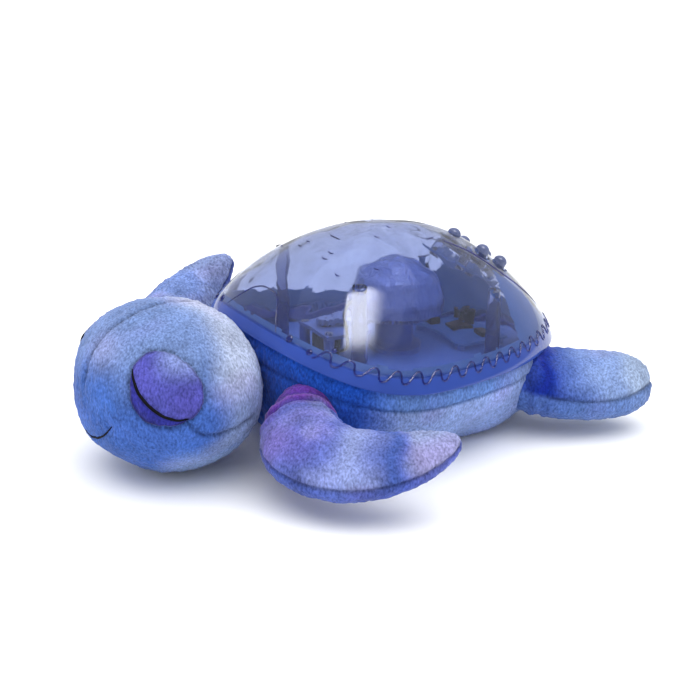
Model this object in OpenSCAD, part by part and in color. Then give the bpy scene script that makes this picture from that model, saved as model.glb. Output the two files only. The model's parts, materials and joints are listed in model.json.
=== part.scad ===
// Turtle night light projector: a stuffed turtle that carries a clear domed shell.
// A lamp shines through a turning ripple lens, and push buttons sit on the rear of the shell.
// Millimetres. The head points to -Y, the turtle's left is +X and the floor is z = 0.

/* [Shell] */
// Width of the shell at its widest line
shell_w = 172; // [160:1:184]
// Length from the widest line to the front edge
shell_front = 62; // [56:1:68]
// Length from the widest line to the rear tip
shell_rear = 143; // [136:1:152]
// Wall of the shell
shell_wall = 2.4; // [1.8:0.1:3]
// Height of the shell's lower edge above the pan's flange, at its middle
rim_z = 5; // [4:0.5:8]
// Extra height of the lower edge above the neck
rim_rise = 18; // [10:0.5:22]
// Height of the dome above its lower edge
dome_h = 73; // [68:0.5:80]
// Radius of a screw post
post_r = 4; // [3.4:0.1:5]

/* [Stuffed turtle] */
// Width of the flat belly
belly_w = 96; // [94:1:102]
// Length of the head
head_l = 101; // [94:1:108]
// Width of the head
head_w = 116; // [106:1:124]
// Height of the head
head_h = 92; // [84:1:92]
// Distance of the head's middle ahead of the shell's front edge
head_reach = 45; // [43:0.5:50]
// Widest half chord of a front flipper
flipper_chord = 23.5; // [20:0.5:26]
// Half thickness of a front flipper at its root
flipper_t = 16; // [14:0.5:18]
// Angle by which the right front flipper lies raised
right_lift = 21; // [0:1:26]
// Widest half width of a rear flipper
foot_chord = 28; // [22:0.5:30]
// Half thickness of a rear flipper at its root
foot_t = 17; // [14:0.5:18]
// Clear gap between stuffed pieces
soft_gap = 0.5; // [0.4:0.1:0.8]
// Thickness of an eyelid patch
eyelid_t = 1.2; // [0.8:0.1:2]

/* [Base] */
// Width of the base pan's well
pan_w = 86; // [85:1:88]
// Wall of the base pan
pan_wall = 2; // [1.6:0.1:2.6]
// Height of the base pan
pan_h = 44; // [42:0.5:45]
// Width of the pan's flange
flange_w = 138; // [132:1:142]
// Thickness of the chassis plate
chassis_t = 2; // [1.6:0.1:2.6]
// Diameter of a cell
cell_d = 14.5; // [13:0.1:14.5]
// Length of a cell
cell_l = 50.5; // [46:0.5:51]
// Thickness of the battery door
door_t = 2; // [1.6:0.1:2.2]
// Diameter of the speaker
speaker_d = 34; // [30:0.5:36]

/* [Lens drive] */
// Height of the gears above the chassis
gear_lift = 20; // [19:0.5:22]
// Thickness of the gear teeth
gear_t = 3.5; // [3:0.1:4]
// Module of the gears
gear_m = 1; // [0.9:0.05:1.05]
// Radius of the ripple lens
lens_r = 27; // [25:0.5:28]
// Height of the ripple lens
lens_h = 30; // [26:0.5:32]
// Radius of the tower's journal
journal_r = 9; // [8:0.1:10]
// Diameter of the motor
motor_d = 16; // [14:0.5:18]
// Length of the motor
motor_l = 15; // [12:0.5:16]
// Running clearance of a shaft in its bore
run_gap = 0.05; // [0.03:0.01:0.08]

/* [Buttons] */
// Radius of a button
button_r = 4; // [3.4:0.1:4.4]
// Travel of a button
button_travel = 1; // [0.6:0.1:1.4]
// Height of a button's crown
button_crown = 2.6; // [2:0.1:3.2]

/* [Hidden] */
$fn = 48;

// Plan and profile of the shell
plan_w = 172;
wide_y = -48.5;
apex_y = -11.4;
front_power = 2.67;
rear_power = 1.65;
rim_slope = 0.038;
rise_start_y = -34;
crown_power = 1.7;
flank_power = 0.8;
shell_sides = 48;
shell_rows = 9;
front_y = wide_y - shell_front;
rear_y = wide_y + shell_rear;
edge_z = pan_h + rim_z;

// Stuffed forms
flange_room = 6;
lip_in_w = flange_w + 2 * flange_room;
lip_w = lip_in_w + 11;
bulge_w = lip_w + 8;
bulge_share = 0.86;
underside = [0, 10, 22, 36, 50, 64, 78, 90];
form_sides = 48;
hem_gap = 0.4;
hem_t = 4;
hoop_gap = 0.2;
head_y = front_y - head_reach;
head_floor_gap = 0.9;
head_z = head_h / 2 + head_floor_gap;
head_sides = 32;
head_rows = 17;
limb_sides = 20;
limb_rows = 16;
limb_end = 0.998;
limb_gap = 0.3;
flipper_path = [[48, -92, 40], [77, -136, 35], [119, -112.5, 16.5], [130.5, -52, 41.5]];
flipper_bank = -27;
right_bank = 14;
flipper_tip_power = 7.5;
shoulder_dir = [0.6, -0.8, 0];
shoulder_z = 40;
shoulder_cut_r = 34;
foot_path = [[34, 42, 30], [46, 66, 29], [59, 95, 21], [70, 120, 29.5]];
foot_bank = -10;
foot_tip_power = 10;
ankle_dir = [0.8, 0.6, 0];

// Base, from the floor up
pan_gap = 0.4;
chassis_z = pan_h;
chassis_top = chassis_z + chassis_t;
chassis_w = flange_w - 4;
screw_r = 1.5;
screw_head_r = 2.8;
screw_head_h = 1.8;
screw_bite = 9;
screw_gap = 0.1;
seat_gap = 0.2;
posts = [[44, -62], [-44, -62], [38, 30], [-38, 30]];
plush_floor_z = pan_h - pan_wall - screw_head_h - 1.2;

// Battery bay
bay_gap = 0.4;
contact_t = 0.8;
contact_room = 2.6;
cell_nub_d = 5.2;
cell_nub_h = 1.2;
bay_l = cell_l + 2 * contact_room;
bay_d = 3 * cell_d + 4 * bay_gap;
bay_y = -27;
bay_wall = 1.6;
door_recess = 0.4;
door_gap = 0.3;
door_lap = 2;
door_l = bay_l + 2 * door_lap;
door_d = bay_d + 2 * door_lap;
bay_out_l = door_l + 2 * door_gap + 2 * bay_wall;
bay_out_d = door_d + 2 * door_gap + 2 * bay_wall;
bay_floor_z = door_recess + door_t + door_gap;
bay_top_z = bay_floor_z + cell_d + bay_gap;
door_ear_r = 3.6;
door_screw_y = bay_y - bay_d / 2 - door_ear_r + 0.2;
door_head_h = 1.2;
door_boss_h = 12;

// Speaker
speaker_y = 17.5;
speaker_h = 12;
grille_hole_r = 1.2;

// Lens drive
drive_y = -12;
gear_z = chassis_top + gear_lift;
gear_top = gear_z + gear_t;
rotor_teeth = 40;
idler_teeth = 20;
pinion_teeth = 10;
pressure = 28;
backlash = 0.07;
idler_y = drive_y - gear_m * (rotor_teeth + idler_teeth) / 2;
pinion_y = idler_y - gear_m * (idler_teeth + pinion_teeth) / 2;
collar_h = 1;
lens_z = gear_top + collar_h;
lens_t = 1.8;
hub_h = gear_t + collar_h + 3.5;
hub_r = journal_r + 3;
tower_top = gear_z + hub_h + seat_gap;
tower_r = journal_r + 2.5;
washer_t = 1;
washer_r = journal_r + 1.8;
lamp_board_t = 1.6;
lamp_board_z = tower_top + washer_t;
lamp_lens_r = 6;
axle_r = 2;
plate_t = 2;
plate_top = gear_z - 1;
plate_z = plate_top - plate_t;
plate_leg_r = 3;
plate_screw_r = 1;
plate_head_r = 2.2;
plate_edge = 3;
leg_x = gear_m * (idler_teeth / 2 + 1) + plate_head_r + 0.8;
leg_front_y = pinion_y - 6;
plate_legs = [[leg_x, leg_front_y], [-leg_x, leg_front_y], [leg_x, idler_y], [-leg_x, idler_y]];
motor_z = plate_z - motor_l;
motor_nose_r = 3.2;
shaft_bore_floor = 3;
shaft_r = 1;

// Main board
board_t = 1.6;
board_l = 50;
board_d = 34;
board_y = 33;
standoff_h = 4;
standoff_r = 2.5;
board_z = chassis_top + standoff_h;

// Buttons, on a plane that leans with the rear of the shell
button_y = 42;
button_lean = 33;
button_spots = [[0, -17.5], [10, -1.2], [-10, -1.2], [8, 15.5], [-8, 15.5]];
boss_r = button_r + 2.4;
boss_floor = -8;
button_flange_r = button_r + 1.4;
button_flange_t = 1;
button_gap = 0.1;
switch_room = button_travel + button_gap;
switch_top = boss_floor - button_gap - button_flange_t - switch_room;
switch_h = 4.8;
switch_side = 6;
plunger_r = 1.7;
plunger_h = 1.2;
button_board_t = 1.6;
button_board_w = 36;
button_board_l = 42;
button_board_top = switch_top - switch_h;
button_board_posts = [[14, -13], [-14, -13], [0, 6.5]];
button_post_r = 3;

// Motor wire, from the motor's side up and over to the chassis, on which it starts
wire_r = 0.8;
wire_sides = 8;
wire_steps = 5;
wire_points = [
    [7.8, -55, 8], [12, -54, 8], [18, -54, 12], [20, -56, 22], [20, -57, 32],
    [20, -53, 38], [20, -47, 34], [20, -45, 20], [20, -45, 0]
];

function mix(a, b, s) = a + (b - a) * s;
function unit(v) = v / norm(v);
function signed_power(v, p) = sign(v) * pow(abs(v), p);

// Plan outline of the turtle, scaled about the apex to the width w
function oval(t, w) =
    let (
        k = w / plan_w,
        power = 2 / (sin(t) < 0 ? front_power : rear_power),
        reach = sin(t) < 0 ? shell_front : shell_rear
    )
    [
        w / 2 * signed_power(cos(t), power),
        apex_y + k * (wide_y - apex_y + reach * signed_power(sin(t), power))
    ];

function turn(n) = [for (i = [0 : n - 1]) 360 * i / n];
function oval_points(w, n) = [for (t = turn(n)) oval(t, w)];

// Height of the shell's lower edge at a place along its length
function rim_at(y) =
    edge_z - rim_slope * (y - apex_y)
    + rim_rise * pow(max(0, (rise_start_y - y) / (rise_start_y - front_y)), 2);
function edge_at(t) = rim_at(oval(t, plan_w).y);

function profile(r) = pow(1 - pow(r, crown_power), flank_power);

// Ring of the dome at the share r of its reach, set in from the outer face
function dome_ring(r, inset) = [
    for (t = turn(shell_sides))
        let (p = oval(t, plan_w - 2 * inset), wide = (shell_w - 2 * inset) / (plan_w - 2 * inset))
        [r * wide * p.x, mix(apex_y, p.y, r), mix(edge_z, edge_at(t), r) + (dome_h - inset) * profile(r)]
];
function dome_rows() = [for (i = [shell_rows : -1 : 1]) sin(90 * i / shell_rows)];
function ridge_z(y) =
    let (r = (y - apex_y) / (rear_y - apex_y))
    mix(edge_z, rim_at(rear_y), r) + dome_h * profile(r);

// Closed solid through a stack of rings, with both ends closed to their middles
module loft(rings) {
    n = len(rings[0]);
    m = len(rings);
    first_mid = [for (k = [0 : 2]) [for (p = rings[0]) p[k]] * [for (p = rings[0]) 1] / n];
    last_mid = [for (k = [0 : 2]) [for (p = rings[m - 1]) p[k]] * [for (p = rings[0]) 1] / n];
    points = concat([for (ring = rings) each ring], [first_mid, last_mid]);
    sides = [
        for (i = [0 : m - 2], j = [0 : n - 1])
            let (a = i * n + j, b = i * n + (j + 1) % n)
            each [[a, a + n, b + n], [a, b + n, b]]
    ];
    ends = [
        for (j = [0 : n - 1])
            let (top = (m - 1) * n, k = (j + 1) % n)
            each [[m * n, j, k], [m * n + 1, top + k, top + j]]
    ];
    polyhedron(points, concat(sides, ends));
}

// Closed ring-shaped solid: the last ring joins the first
module hoop_loft(rings) {
    n = len(rings[0]);
    m = len(rings);
    points = [for (ring = rings) each ring];
    faces = [
        for (i = [0 : m - 1], j = [0 : n - 1])
            let (k = (j + 1) % n, here = i * n, next = ((i + 1) % m) * n)
            each [[here + j, next + j, next + k], [here + j, next + k, here + k]]
    ];
    polyhedron(points, faces);
}

// Ring of the stuffed body: width w, height as a share of the edge above it plus a lift
function body_ring(w, share, lift) = [
    for (t = turn(form_sides))
        let (p = oval(t, w))
        [p.x, p.y, share * edge_at(t) + lift]
];
function body_side(grow) = [
    for (q = underside)
        let (w = mix(belly_w, bulge_w, pow(sin(q), 0.9)), share = bulge_share * pow(1 - cos(q), 0.56))
        body_ring(w + 2 * grow, share, 0)
];
function body_top(grow) = [
    body_ring(mix(bulge_w, lip_w, 0.25) + 2 * grow, 0.95, 0),
    body_ring(lip_w + 2 * grow, 1, -hem_gap)
];

// Outer envelope of the stuffed body, grown sideways
module body_envelope(grow) {
    loft(concat(body_side(grow), body_top(grow)));
}

module plush_body() {
    well_w = pan_w + 2 * pan_gap;
    inner = [
        body_ring(lip_in_w, 1, -hem_gap - hem_t),
        [for (t = turn(form_sides)) let (p = oval(t, lip_in_w - 3)) [p.x, p.y, plush_floor_z]],
        [for (t = turn(form_sides)) let (p = oval(t, well_w)) [p.x, p.y, plush_floor_z]],
        [for (t = turn(form_sides)) let (p = oval(t, well_w)) [p.x, p.y, 0]]
    ];
    color("#4f63b8") hoop_loft(concat(body_side(0), body_top(0), inner));
}

// Point on the head at longitude a from the snout and latitude b, grown outwards
function head_point(a, b, grow) = [
    (head_w / 2 + grow) * cos(b) * sin(a),
    head_y - (head_l / 2 + grow) * cos(b) * cos(a),
    head_z + (head_h / 2 + grow) * sin(b)
];

module head() {
    pole = 3;
    latitudes = [for (i = [0 : head_rows]) mix(-90 + pole, 90 - pole, i / head_rows)];
    color("#5f78c8") difference() {
        loft([for (b = latitudes) [for (t = turn(head_sides)) head_point(t + 90, b, 0)]]);
        body_envelope(soft_gap);
    }
}

// Sleeping eyelid: a thin patch that hugs the cheek, with a straight lash edge
module eyelid(side) {
    middle = [59, 23];
    reach = [23, 22];
    lift = 0.5;
    rim = [for (t = turn(24)) [
        reach.x * signed_power(cos(t), 0.85),
        reach.y * signed_power(sin(t), 0.9) * (sin(t) < 0 ? 1 - 0.25 * cos(t) : 1) - 0.16 * reach.x * cos(t)
    ]];
    function patch(share, grow) = [
        for (p = rim) head_point(middle.x + share * p.x, middle.y + share * p.y, grow)
    ];
    color("#6a5ab8") mirror([side < 0 ? 1 : 0, 0, 0])
        loft([patch(0.1, lift), patch(0.6, lift), patch(1, lift), patch(0.97, lift + eyelid_t),
            patch(0.6, lift + 1.3 * eyelid_t), patch(0.1, lift + 1.4 * eyelid_t)]);
}
module eyelid_left() { eyelid(1); }
module eyelid_right() { eyelid(-1); }

function curve(p, s) =
    pow(1 - s, 3) * p[0] + 3 * pow(1 - s, 2) * s * p[1] + 3 * (1 - s) * s * s * p[2] + pow(s, 3) * p[3];
function heading(p, s) =
    unit(pow(1 - s, 2) * (p[1] - p[0]) + 2 * (1 - s) * s * (p[2] - p[1]) + s * s * (p[3] - p[2]));

// Stuffed limb along a curve: chord and thickness swell, and end in a round tip that a higher power makes blunter.
// The rings lie closer together at the tip.
module limb(path, root_w, mid_w, root_t, tip_t, bank, tip_power) {
    rings = [
        for (i = [0 : limb_rows])
            let (
                s = limb_end * sin(90 * i / limb_rows),
                ahead = heading(path, s),
                flat = unit(cross(ahead, [0, 0, 1])),
                rise = cross(flat, ahead),
                chord = cos(bank) * flat + sin(bank) * rise,
                thick = cos(bank) * rise - sin(bank) * flat,
                taper = sqrt(1 - pow(s, tip_power)),
                w = taper * (root_w + (mid_w - root_w) * sin(180 * pow(s, 0.9))),
                h = taper * mix(root_t, tip_t, s)
            )
            [for (t = turn(limb_sides)) curve(path, s) + w * cos(t) * chord - h * sin(t) * thick]
    ];
    loft(rings);
}

// Furthest reach of the stuffed body's plan in a level direction
function body_reach(dir) = max([for (p = oval_points(bulge_w, form_sides)) p.x * dir.x + p.y * dir.y]);

// Place on the tangent plane of the stuffed body, just clear of it, nearest a limb's root
function joint_place(dir, root, z) =
    let (short = body_reach(dir) + limb_gap - root.x * dir.x - root.y * dir.y)
    [root.x + short * dir.x, root.y + short * dir.y, z];

// Front flipper: it turns about the shoulder's level axis, so its root is a flat disc square to that axis
module front_flipper(side, lift, bank) {
    shoulder = joint_place(shoulder_dir, flipper_path[0], shoulder_z);
    color("#7a6fc8") mirror([side < 0 ? 1 : 0, 0, 0])
        translate(shoulder) rotate(lift, shoulder_dir) translate(-shoulder) difference() {
            limb(flipper_path, flipper_t, flipper_chord, flipper_t, flipper_t - 5, bank, flipper_tip_power);
            translate(shoulder) rotate([0, 90, atan2(shoulder_dir.y, shoulder_dir.x)])
                translate([0, 0, -80]) cylinder(r = shoulder_cut_r, h = 80);
        }
}
module front_flipper_left() { front_flipper(1, 0, flipper_bank); }
module front_flipper_right() { front_flipper(-1, right_lift, right_bank); }

// Rear flipper: it lifts about a level line at the top of its flat root
module rear_flipper(side) {
    ankle = joint_place(ankle_dir, foot_path[0], 0);
    color("#4a66c4") mirror([side < 0 ? 1 : 0, 0, 0]) difference() {
        limb(foot_path, foot_t, foot_chord, foot_t, foot_t, foot_bank, foot_tip_power);
        translate(ankle) rotate(atan2(ankle_dir.y, ankle_dir.x))
            translate([-80, -80, -20]) cube([80, 160, 120]);
    }
}
module rear_flipper_left() { rear_flipper(1); }
module rear_flipper_right() { rear_flipper(-1); }

// Frame of the button plane: z runs out of the shell
module on_button_plane() {
    translate([0, button_y, ridge_z(button_y)]) rotate([-button_lean, 0, 0]) children();
}

module shell_dome() {
    below = [for (p = dome_ring(1, shell_wall)) p - [0, 0, 12]];
    pillar = dome_h + edge_z;
    color("#3a4fb0", 0.6) difference() {
        loft([for (r = dome_rows()) dome_ring(r, 0)]);
        difference() {
            loft(concat([below], [for (r = dome_rows()) dome_ring(r, shell_wall)]));
            for (p = posts) translate([p.x, p.y, chassis_top]) cylinder(r = post_r, h = pillar);
            on_button_plane() {
                for (p = button_spots) translate([p.x, p.y, boss_floor]) cylinder(r = boss_r, h = 12);
                for (p = button_board_posts)
                    translate([p.x, p.y, button_board_top]) cylinder(r = button_post_r, h = 18);
            }
        }
        for (p = posts)
            translate([p.x, p.y, chassis_top - 1]) cylinder(r = screw_r + screw_gap, h = screw_bite + 1);
        on_button_plane() {
            for (p = button_spots)
                translate([p.x, p.y, boss_floor - 1]) cylinder(r = button_r + run_gap, h = 14);
            for (p = button_board_posts)
                translate([p.x, p.y, button_board_top - 1]) cylinder(r = screw_r + screw_gap, h = 7);
        }
    }
}

// Hoop sewn in the hem of the plush, just inside the shell's lower edge
module rim_hoop() {
    out_w = lip_in_w - 2 * hoop_gap;
    in_w = out_w - 5;
    foot = hoop_gap - hem_gap - hem_t;
    color("#2c3a8c") hoop_loft([
        body_ring(in_w, 1, foot), body_ring(out_w, 1, foot), body_ring(out_w, 1, 1), body_ring(in_w, 1, 1)
    ]);
}

module oval_plate(w, h) {
    linear_extrude(h) polygon(oval_points(w, shell_sides));
}

module at_posts(z) {
    for (p = posts) translate([p.x, p.y, z]) children();
}

module door_ear(r, h) {
    translate([0, door_screw_y, 0]) cylinder(r = r, h = h);
}

// Rectangle centred on x = 0 and on a place along the length
module block(l, d, h, y, z) {
    translate([-l / 2, y - d / 2, z]) cube([l, d, h]);
}

module base_pan() {
    color("#2b3578") difference() {
        union() {
            difference() {
                oval_plate(pan_w, pan_h);
                translate([0, 0, pan_wall]) oval_plate(pan_w - 2 * pan_wall, pan_h);
            }
            difference() {
                translate([0, 0, pan_h - pan_wall]) oval_plate(flange_w, pan_wall);
                translate([0, 0, pan_h - pan_wall - 1]) oval_plate(pan_w - 2 * pan_wall, pan_wall + 2);
            }
            block(bay_out_l, bay_out_d, bay_top_z, bay_y, 0);
            door_ear(door_ear_r, bay_floor_z + door_boss_h);
        }
        block(bay_l, bay_d, bay_top_z + 1, bay_y, -1);
        block(door_l + 2 * door_gap, door_d + 2 * door_gap, bay_floor_z + 1, bay_y, -1);
        translate([0, 0, -1]) door_ear(door_ear_r + door_gap, bay_floor_z + 1);
        translate([0, 0, -1]) door_ear(screw_r + screw_gap, bay_floor_z + door_boss_h);
        at_posts(pan_h - pan_wall - 1) cylinder(r = screw_r + screw_gap, h = pan_wall + 2);
        for (ring = [[4, 3], [8, 9]], i = [1 : ring[0]])
            translate([0, speaker_y, -1]) rotate(360 * i / ring[0]) translate([ring[1], 0, 0])
                cylinder(r = grille_hole_r, h = pan_wall + 2);
    }
}

module chassis_plate() {
    color("#3a4694") difference() {
        union() {
            translate([0, 0, chassis_z]) oval_plate(chassis_w, chassis_t);
            for (x = [-1, 1], y = [-1, 1])
                translate([x * (board_l / 2 - 4), board_y + y * (board_d / 2 - 4), chassis_top])
                    cylinder(r = standoff_r, h = standoff_h);
        }
        at_posts(chassis_z - 1) cylinder(r = screw_r + screw_gap, h = chassis_t + 2);
    }
}

// Screw with its head's upper face at z = 0 and its shank upwards
module screw(bite) {
    translate([0, 0, -screw_head_h]) difference() {
        cylinder(r = screw_head_r, h = screw_head_h);
        translate([-2, -0.4, -1]) cube([4, 0.8, 1.7]);
        translate([-0.4, -2, -1]) cube([0.8, 4, 1.7]);
    }
    cylinder(r = screw_r, h = bite);
}

module shell_screws() {
    color("silver") at_posts(pan_h - pan_wall) screw(pan_wall + chassis_t + screw_bite - 1);
}

module battery_door() {
    color("#26306e") difference() {
        translate([0, 0, door_recess]) union() {
            block(door_l, door_d, door_t, bay_y, 0);
            door_ear(door_ear_r, door_t);
        }
        translate([0, 0, -1]) door_ear(screw_r + screw_gap, door_t + 2);
        translate([0, 0, -1]) door_ear(screw_head_r + screw_gap, door_recess + door_head_h + 1);
        for (i = [-2 : 2])
            translate([-6, bay_y + door_d / 2 - 6 + 2 * i - 4, door_recess - 1]) cube([12, 1, 1.5]);
    }
}

module door_screw() {
    color("silver") translate([0, door_screw_y, door_recess]) difference() {
        union() {
            cylinder(r = screw_head_r, h = door_head_h);
            cylinder(r = screw_r, h = door_t + door_boss_h - 3);
        }
        translate([-2, -0.4, -1]) cube([4, 0.8, 1.6]);
        translate([-0.4, -2, -1]) cube([0.8, 4, 1.6]);
    }
}

// Middle of each cell's axis, side by side along the bay
module at_cells(x) {
    for (i = [-1 : 1]) translate([x, bay_y + i * (cell_d + bay_gap), bay_floor_z + cell_d / 2]) children();
}

module battery_cells() {
    color("#b8862e") at_cells(-cell_l / 2) rotate([0, 90, 0]) {
        cylinder(d = cell_d, h = cell_l - cell_nub_h);
        translate([0, 0, cell_l - cell_nub_h]) cylinder(d = cell_nub_d, h = cell_nub_h);
    }
}

module battery_contacts() {
    color("silver") for (side = [-1, 1])
        at_cells(side * (bay_l / 2 - contact_t / 2)) rotate([0, -90 * side, 0]) {
            translate([-5, -5, -contact_t / 2]) cube([10, 10, contact_t]);
            translate([0, 0, contact_t / 2]) cylinder(r1 = 4, r2 = 2.5, h = contact_room - contact_t);
        }
}

module speaker() {
    color("#202020") translate([0, speaker_y, pan_wall]) rotate_extrude() polygon([
        [speaker_d / 2 - 3, 0], [speaker_d / 2, 0], [speaker_d / 2, 2], [11, 5.5], [9, 5.5],
        [9, speaker_h], [0, speaker_h], [0, 4], [6, 3]
    ]);
}

module main_board() {
    color("#7a5a30") block(board_l, board_d, board_t, board_y, board_z);
}

module board_components() {
    top = board_z + board_t;
    color("#303030") {
        block(12, 12, 2, board_y, top);
        translate([15, 0, 0]) block(8, 6, 2.4, board_y + 6, top);
        translate([-15, 0, 0]) block(10, 6, 6, board_y - 11, top);
        for (i = [0 : 2]) translate([-18 + 7 * i, board_y + 11, top]) cylinder(r = 2.5, h = 8);
    }
}

module lamp_tower() {
    color("#aab4e0") translate([0, drive_y, chassis_top]) difference() {
        union() {
            cylinder(r = tower_r + 4, h = 2.5);
            cylinder(r = tower_r, h = gear_lift - seat_gap);
            cylinder(r = journal_r, h = tower_top - chassis_top);
        }
        translate([0, 0, -1]) cylinder(r = journal_r - 3, h = tower_top - chassis_top - 2);
    }
}

module rotor_washer() {
    color("white") translate([0, drive_y, tower_top]) cylinder(r = washer_r, h = washer_t);
}

module lamp_board() {
    color("#e8e8e8") translate([0, drive_y, lamp_board_z]) cylinder(r = journal_r, h = lamp_board_t);
}

module lamp_emitters() {
    color("khaki") translate([0, drive_y, lamp_board_z + lamp_board_t]) for (i = [0 : 2])
        rotate(120 * i) translate([2.4, 0, 0]) cylinder(r = 1.4, h = 1.2);
}

module lamp_lens() {
    wall = 1.4;
    base = lamp_board_z + lamp_board_t;
    color("white", 0.5) translate([0, drive_y, base]) difference() {
        union() {
            cylinder(r = lamp_lens_r, h = 2.2);
            translate([0, 0, 2.2]) intersection() {
                sphere(r = lamp_lens_r);
                cylinder(r = lamp_lens_r, h = lamp_lens_r);
            }
        }
        translate([0, 0, -1]) cylinder(r = lamp_lens_r - wall, h = 1 + 2.2);
    }
}

// Half the angle of an involute tooth at a radius
function tooth_half(teeth, r) =
    let (
        pitch_r = gear_m * teeth / 2,
        base_r = pitch_r * cos(pressure),
        lean = acos(min(1, base_r / r)),
        roll = (tan(pressure) - tan(lean)) * 180 / PI - pressure + lean
    )
    90 / teeth - backlash / pitch_r * 180 / PI + roll;

function gear_outline(teeth) =
    let (
        pitch_r = gear_m * teeth / 2,
        radii = [for (step = [-1.25, -0.6, 0, 0.5, 1]) pitch_r + step * gear_m],
        back = [for (i = [4 : -1 : 0]) radii[i]]
    )
    [
        for (i = [0 : teeth - 1])
            each concat(
                [for (r = radii) let (a = 360 * i / teeth - tooth_half(teeth, r)) r * [cos(a), sin(a)]],
                [for (r = back) let (a = 360 * i / teeth + tooth_half(teeth, r)) r * [cos(a), sin(a)]]
            )
    ];

module gear(teeth, h, phase) {
    rotate(phase) linear_extrude(h) polygon(gear_outline(teeth));
}

module rotor_gear() {
    color("#d8dcf0") translate([0, drive_y, gear_z]) difference() {
        union() {
            gear(rotor_teeth, gear_t, 90);
            cylinder(r = hub_r + 5, h = gear_t + collar_h);
            cylinder(r = hub_r, h = hub_h);
        }
        translate([0, 0, -1]) cylinder(r = journal_r + run_gap, h = hub_h + 2);
    }
}

// Ripple lens: a turned dome whose skin swells in rings
module ripple_lens() {
    steps = 20;
    foot_h = 4;
    swell = 0.45;
    flange_r = hub_r + 0.6;
    function skin(inset) = [
        for (i = [0 : steps])
            let (a = 90 * i / steps, s = swell * sin(6 * 360 * i / steps / 2))
            [max(0, (lens_r - inset + s) * cos(a)), foot_h + (lens_h - foot_h - inset + s) * sin(a)]
    ];
    inner = skin(lens_t);
    color("#6f8ae0", 0.7) translate([0, drive_y, lens_z]) rotate_extrude() polygon(concat(
        [[flange_r, 0], [lens_r, 0]], skin(0),
        [for (i = [steps : -1 : 0]) inner[i]],
        [[lens_r - lens_t, lens_t], [flange_r, lens_t]]
    ));
}

module idler_axle() {
    color("silver") translate([0, idler_y, plate_z]) cylinder(r = axle_r, h = gear_top - plate_z);
}

module idler_gear() {
    color("#d8dcf0") translate([0, idler_y, gear_z]) difference() {
        union() {
            gear(idler_teeth, gear_t - 0.4, 90 + 180 / idler_teeth);
            translate([0, 0, plate_top - gear_z + seat_gap]) cylinder(r = axle_r + 2, h = gear_t - 0.4);
        }
        translate([0, 0, -2]) cylinder(r = axle_r + run_gap, h = gear_t + 4);
    }
}

module gear_plate() {
    leg_l = plate_z - chassis_top;
    color("#8a94c8") difference() {
        union() {
            translate([-leg_x - plate_edge, leg_front_y - plate_edge, plate_z])
                cube([2 * (leg_x + plate_edge), idler_y - leg_front_y + 2 * plate_edge, plate_t]);
            for (p = plate_legs) translate([p.x, p.y, chassis_top]) cylinder(r = plate_leg_r, h = leg_l);
        }
        translate([0, idler_y, plate_z - 1]) cylinder(r = axle_r, h = plate_t + 2);
        translate([0, pinion_y, plate_z - 1]) cylinder(r = motor_nose_r + seat_gap, h = plate_t + 2);
        for (p = plate_legs)
            translate([p.x, p.y, plate_top - 8]) cylinder(r = plate_screw_r, h = 9);
    }
}

module gear_plate_screws() {
    color("silver") for (p = plate_legs) translate([p.x, p.y, plate_top]) {
        translate([0, 0, -6]) cylinder(r = plate_screw_r, h = 6);
        cylinder(r = plate_head_r, h = 1.2);
    }
}

module motor() {
    color("#3a3430") translate([0, pinion_y, motor_z]) difference() {
        union() {
            cylinder(d = motor_d, h = motor_l);
            translate([0, 0, motor_l]) cylinder(r = motor_nose_r, h = 1.2);
            translate([0, 0, chassis_top - motor_z]) cylinder(d = motor_d - 4, h = motor_z - chassis_top);
        }
        translate([0, 0, shaft_bore_floor]) cylinder(r = shaft_r + run_gap, h = motor_l);
    }
}

module motor_shaft() {
    foot = motor_z + shaft_bore_floor + seat_gap;
    color("silver") translate([0, pinion_y, foot]) cylinder(r = shaft_r, h = gear_top - foot);
}

module motor_pinion() {
    color("ivory") translate([0, pinion_y, gear_z + 0.2]) difference() {
        gear(pinion_teeth, gear_t - 0.2, 90);
        translate([0, 0, -1]) cylinder(r = shaft_r, h = gear_t + 2);
    }
}

// Wire swept along a smooth curve through its points
function spline(p, i, s) =
    let (
        a = p[max(0, i - 1)], b = p[i], c = p[i + 1], d = p[min(len(p) - 1, i + 2)]
    )
    0.5 * (2 * b + (c - a) * s + (2 * a - 5 * b + 4 * c - d) * s * s + (3 * b - a - 3 * c + d) * s * s * s);

module motor_wire() {
    wire_spans = len(wire_points) - 1;
    path = concat(
        [for (i = [0 : wire_spans - 1], k = [0 : wire_steps - 1]) spline(wire_points, i, k / wire_steps)],
        [wire_points[wire_spans]]
    );
    last = len(path) - 1;
    color("#151515") translate([0, 0, chassis_top]) loft([
        for (i = [0 : last])
            let (
                ahead = unit(path[min(last, i + 1)] - path[max(0, i - 1)]),
                side = unit(cross(ahead, [0.9, 0.3, 0.1])),
                up = cross(ahead, side)
            )
            [for (t = turn(wire_sides)) path[i] + wire_r * (cos(t) * side + sin(t) * up)]
    ]);
}

module button_board() {
    color("#7a5a30") on_button_plane() translate([0, 0, button_board_top - button_board_t]) difference() {
        block(button_board_w, button_board_l, button_board_t, 0, 0);
        for (p = button_board_posts)
            translate([p.x, p.y, -1]) cylinder(r = screw_r + screw_gap, h = button_board_t + 2);
    }
}

module button_board_screws() {
    color("silver") on_button_plane() for (p = button_board_posts)
        translate([p.x, p.y, button_board_top - button_board_t]) screw(button_board_t + 4);
}

module tact_switches() {
    color("#404040") on_button_plane() for (p = button_spots) translate([p.x, p.y, button_board_top]) {
        block(switch_side, switch_side, switch_h - plunger_h, 0, 0);
        cylinder(r = plunger_r, h = switch_h);
    }
}

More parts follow.
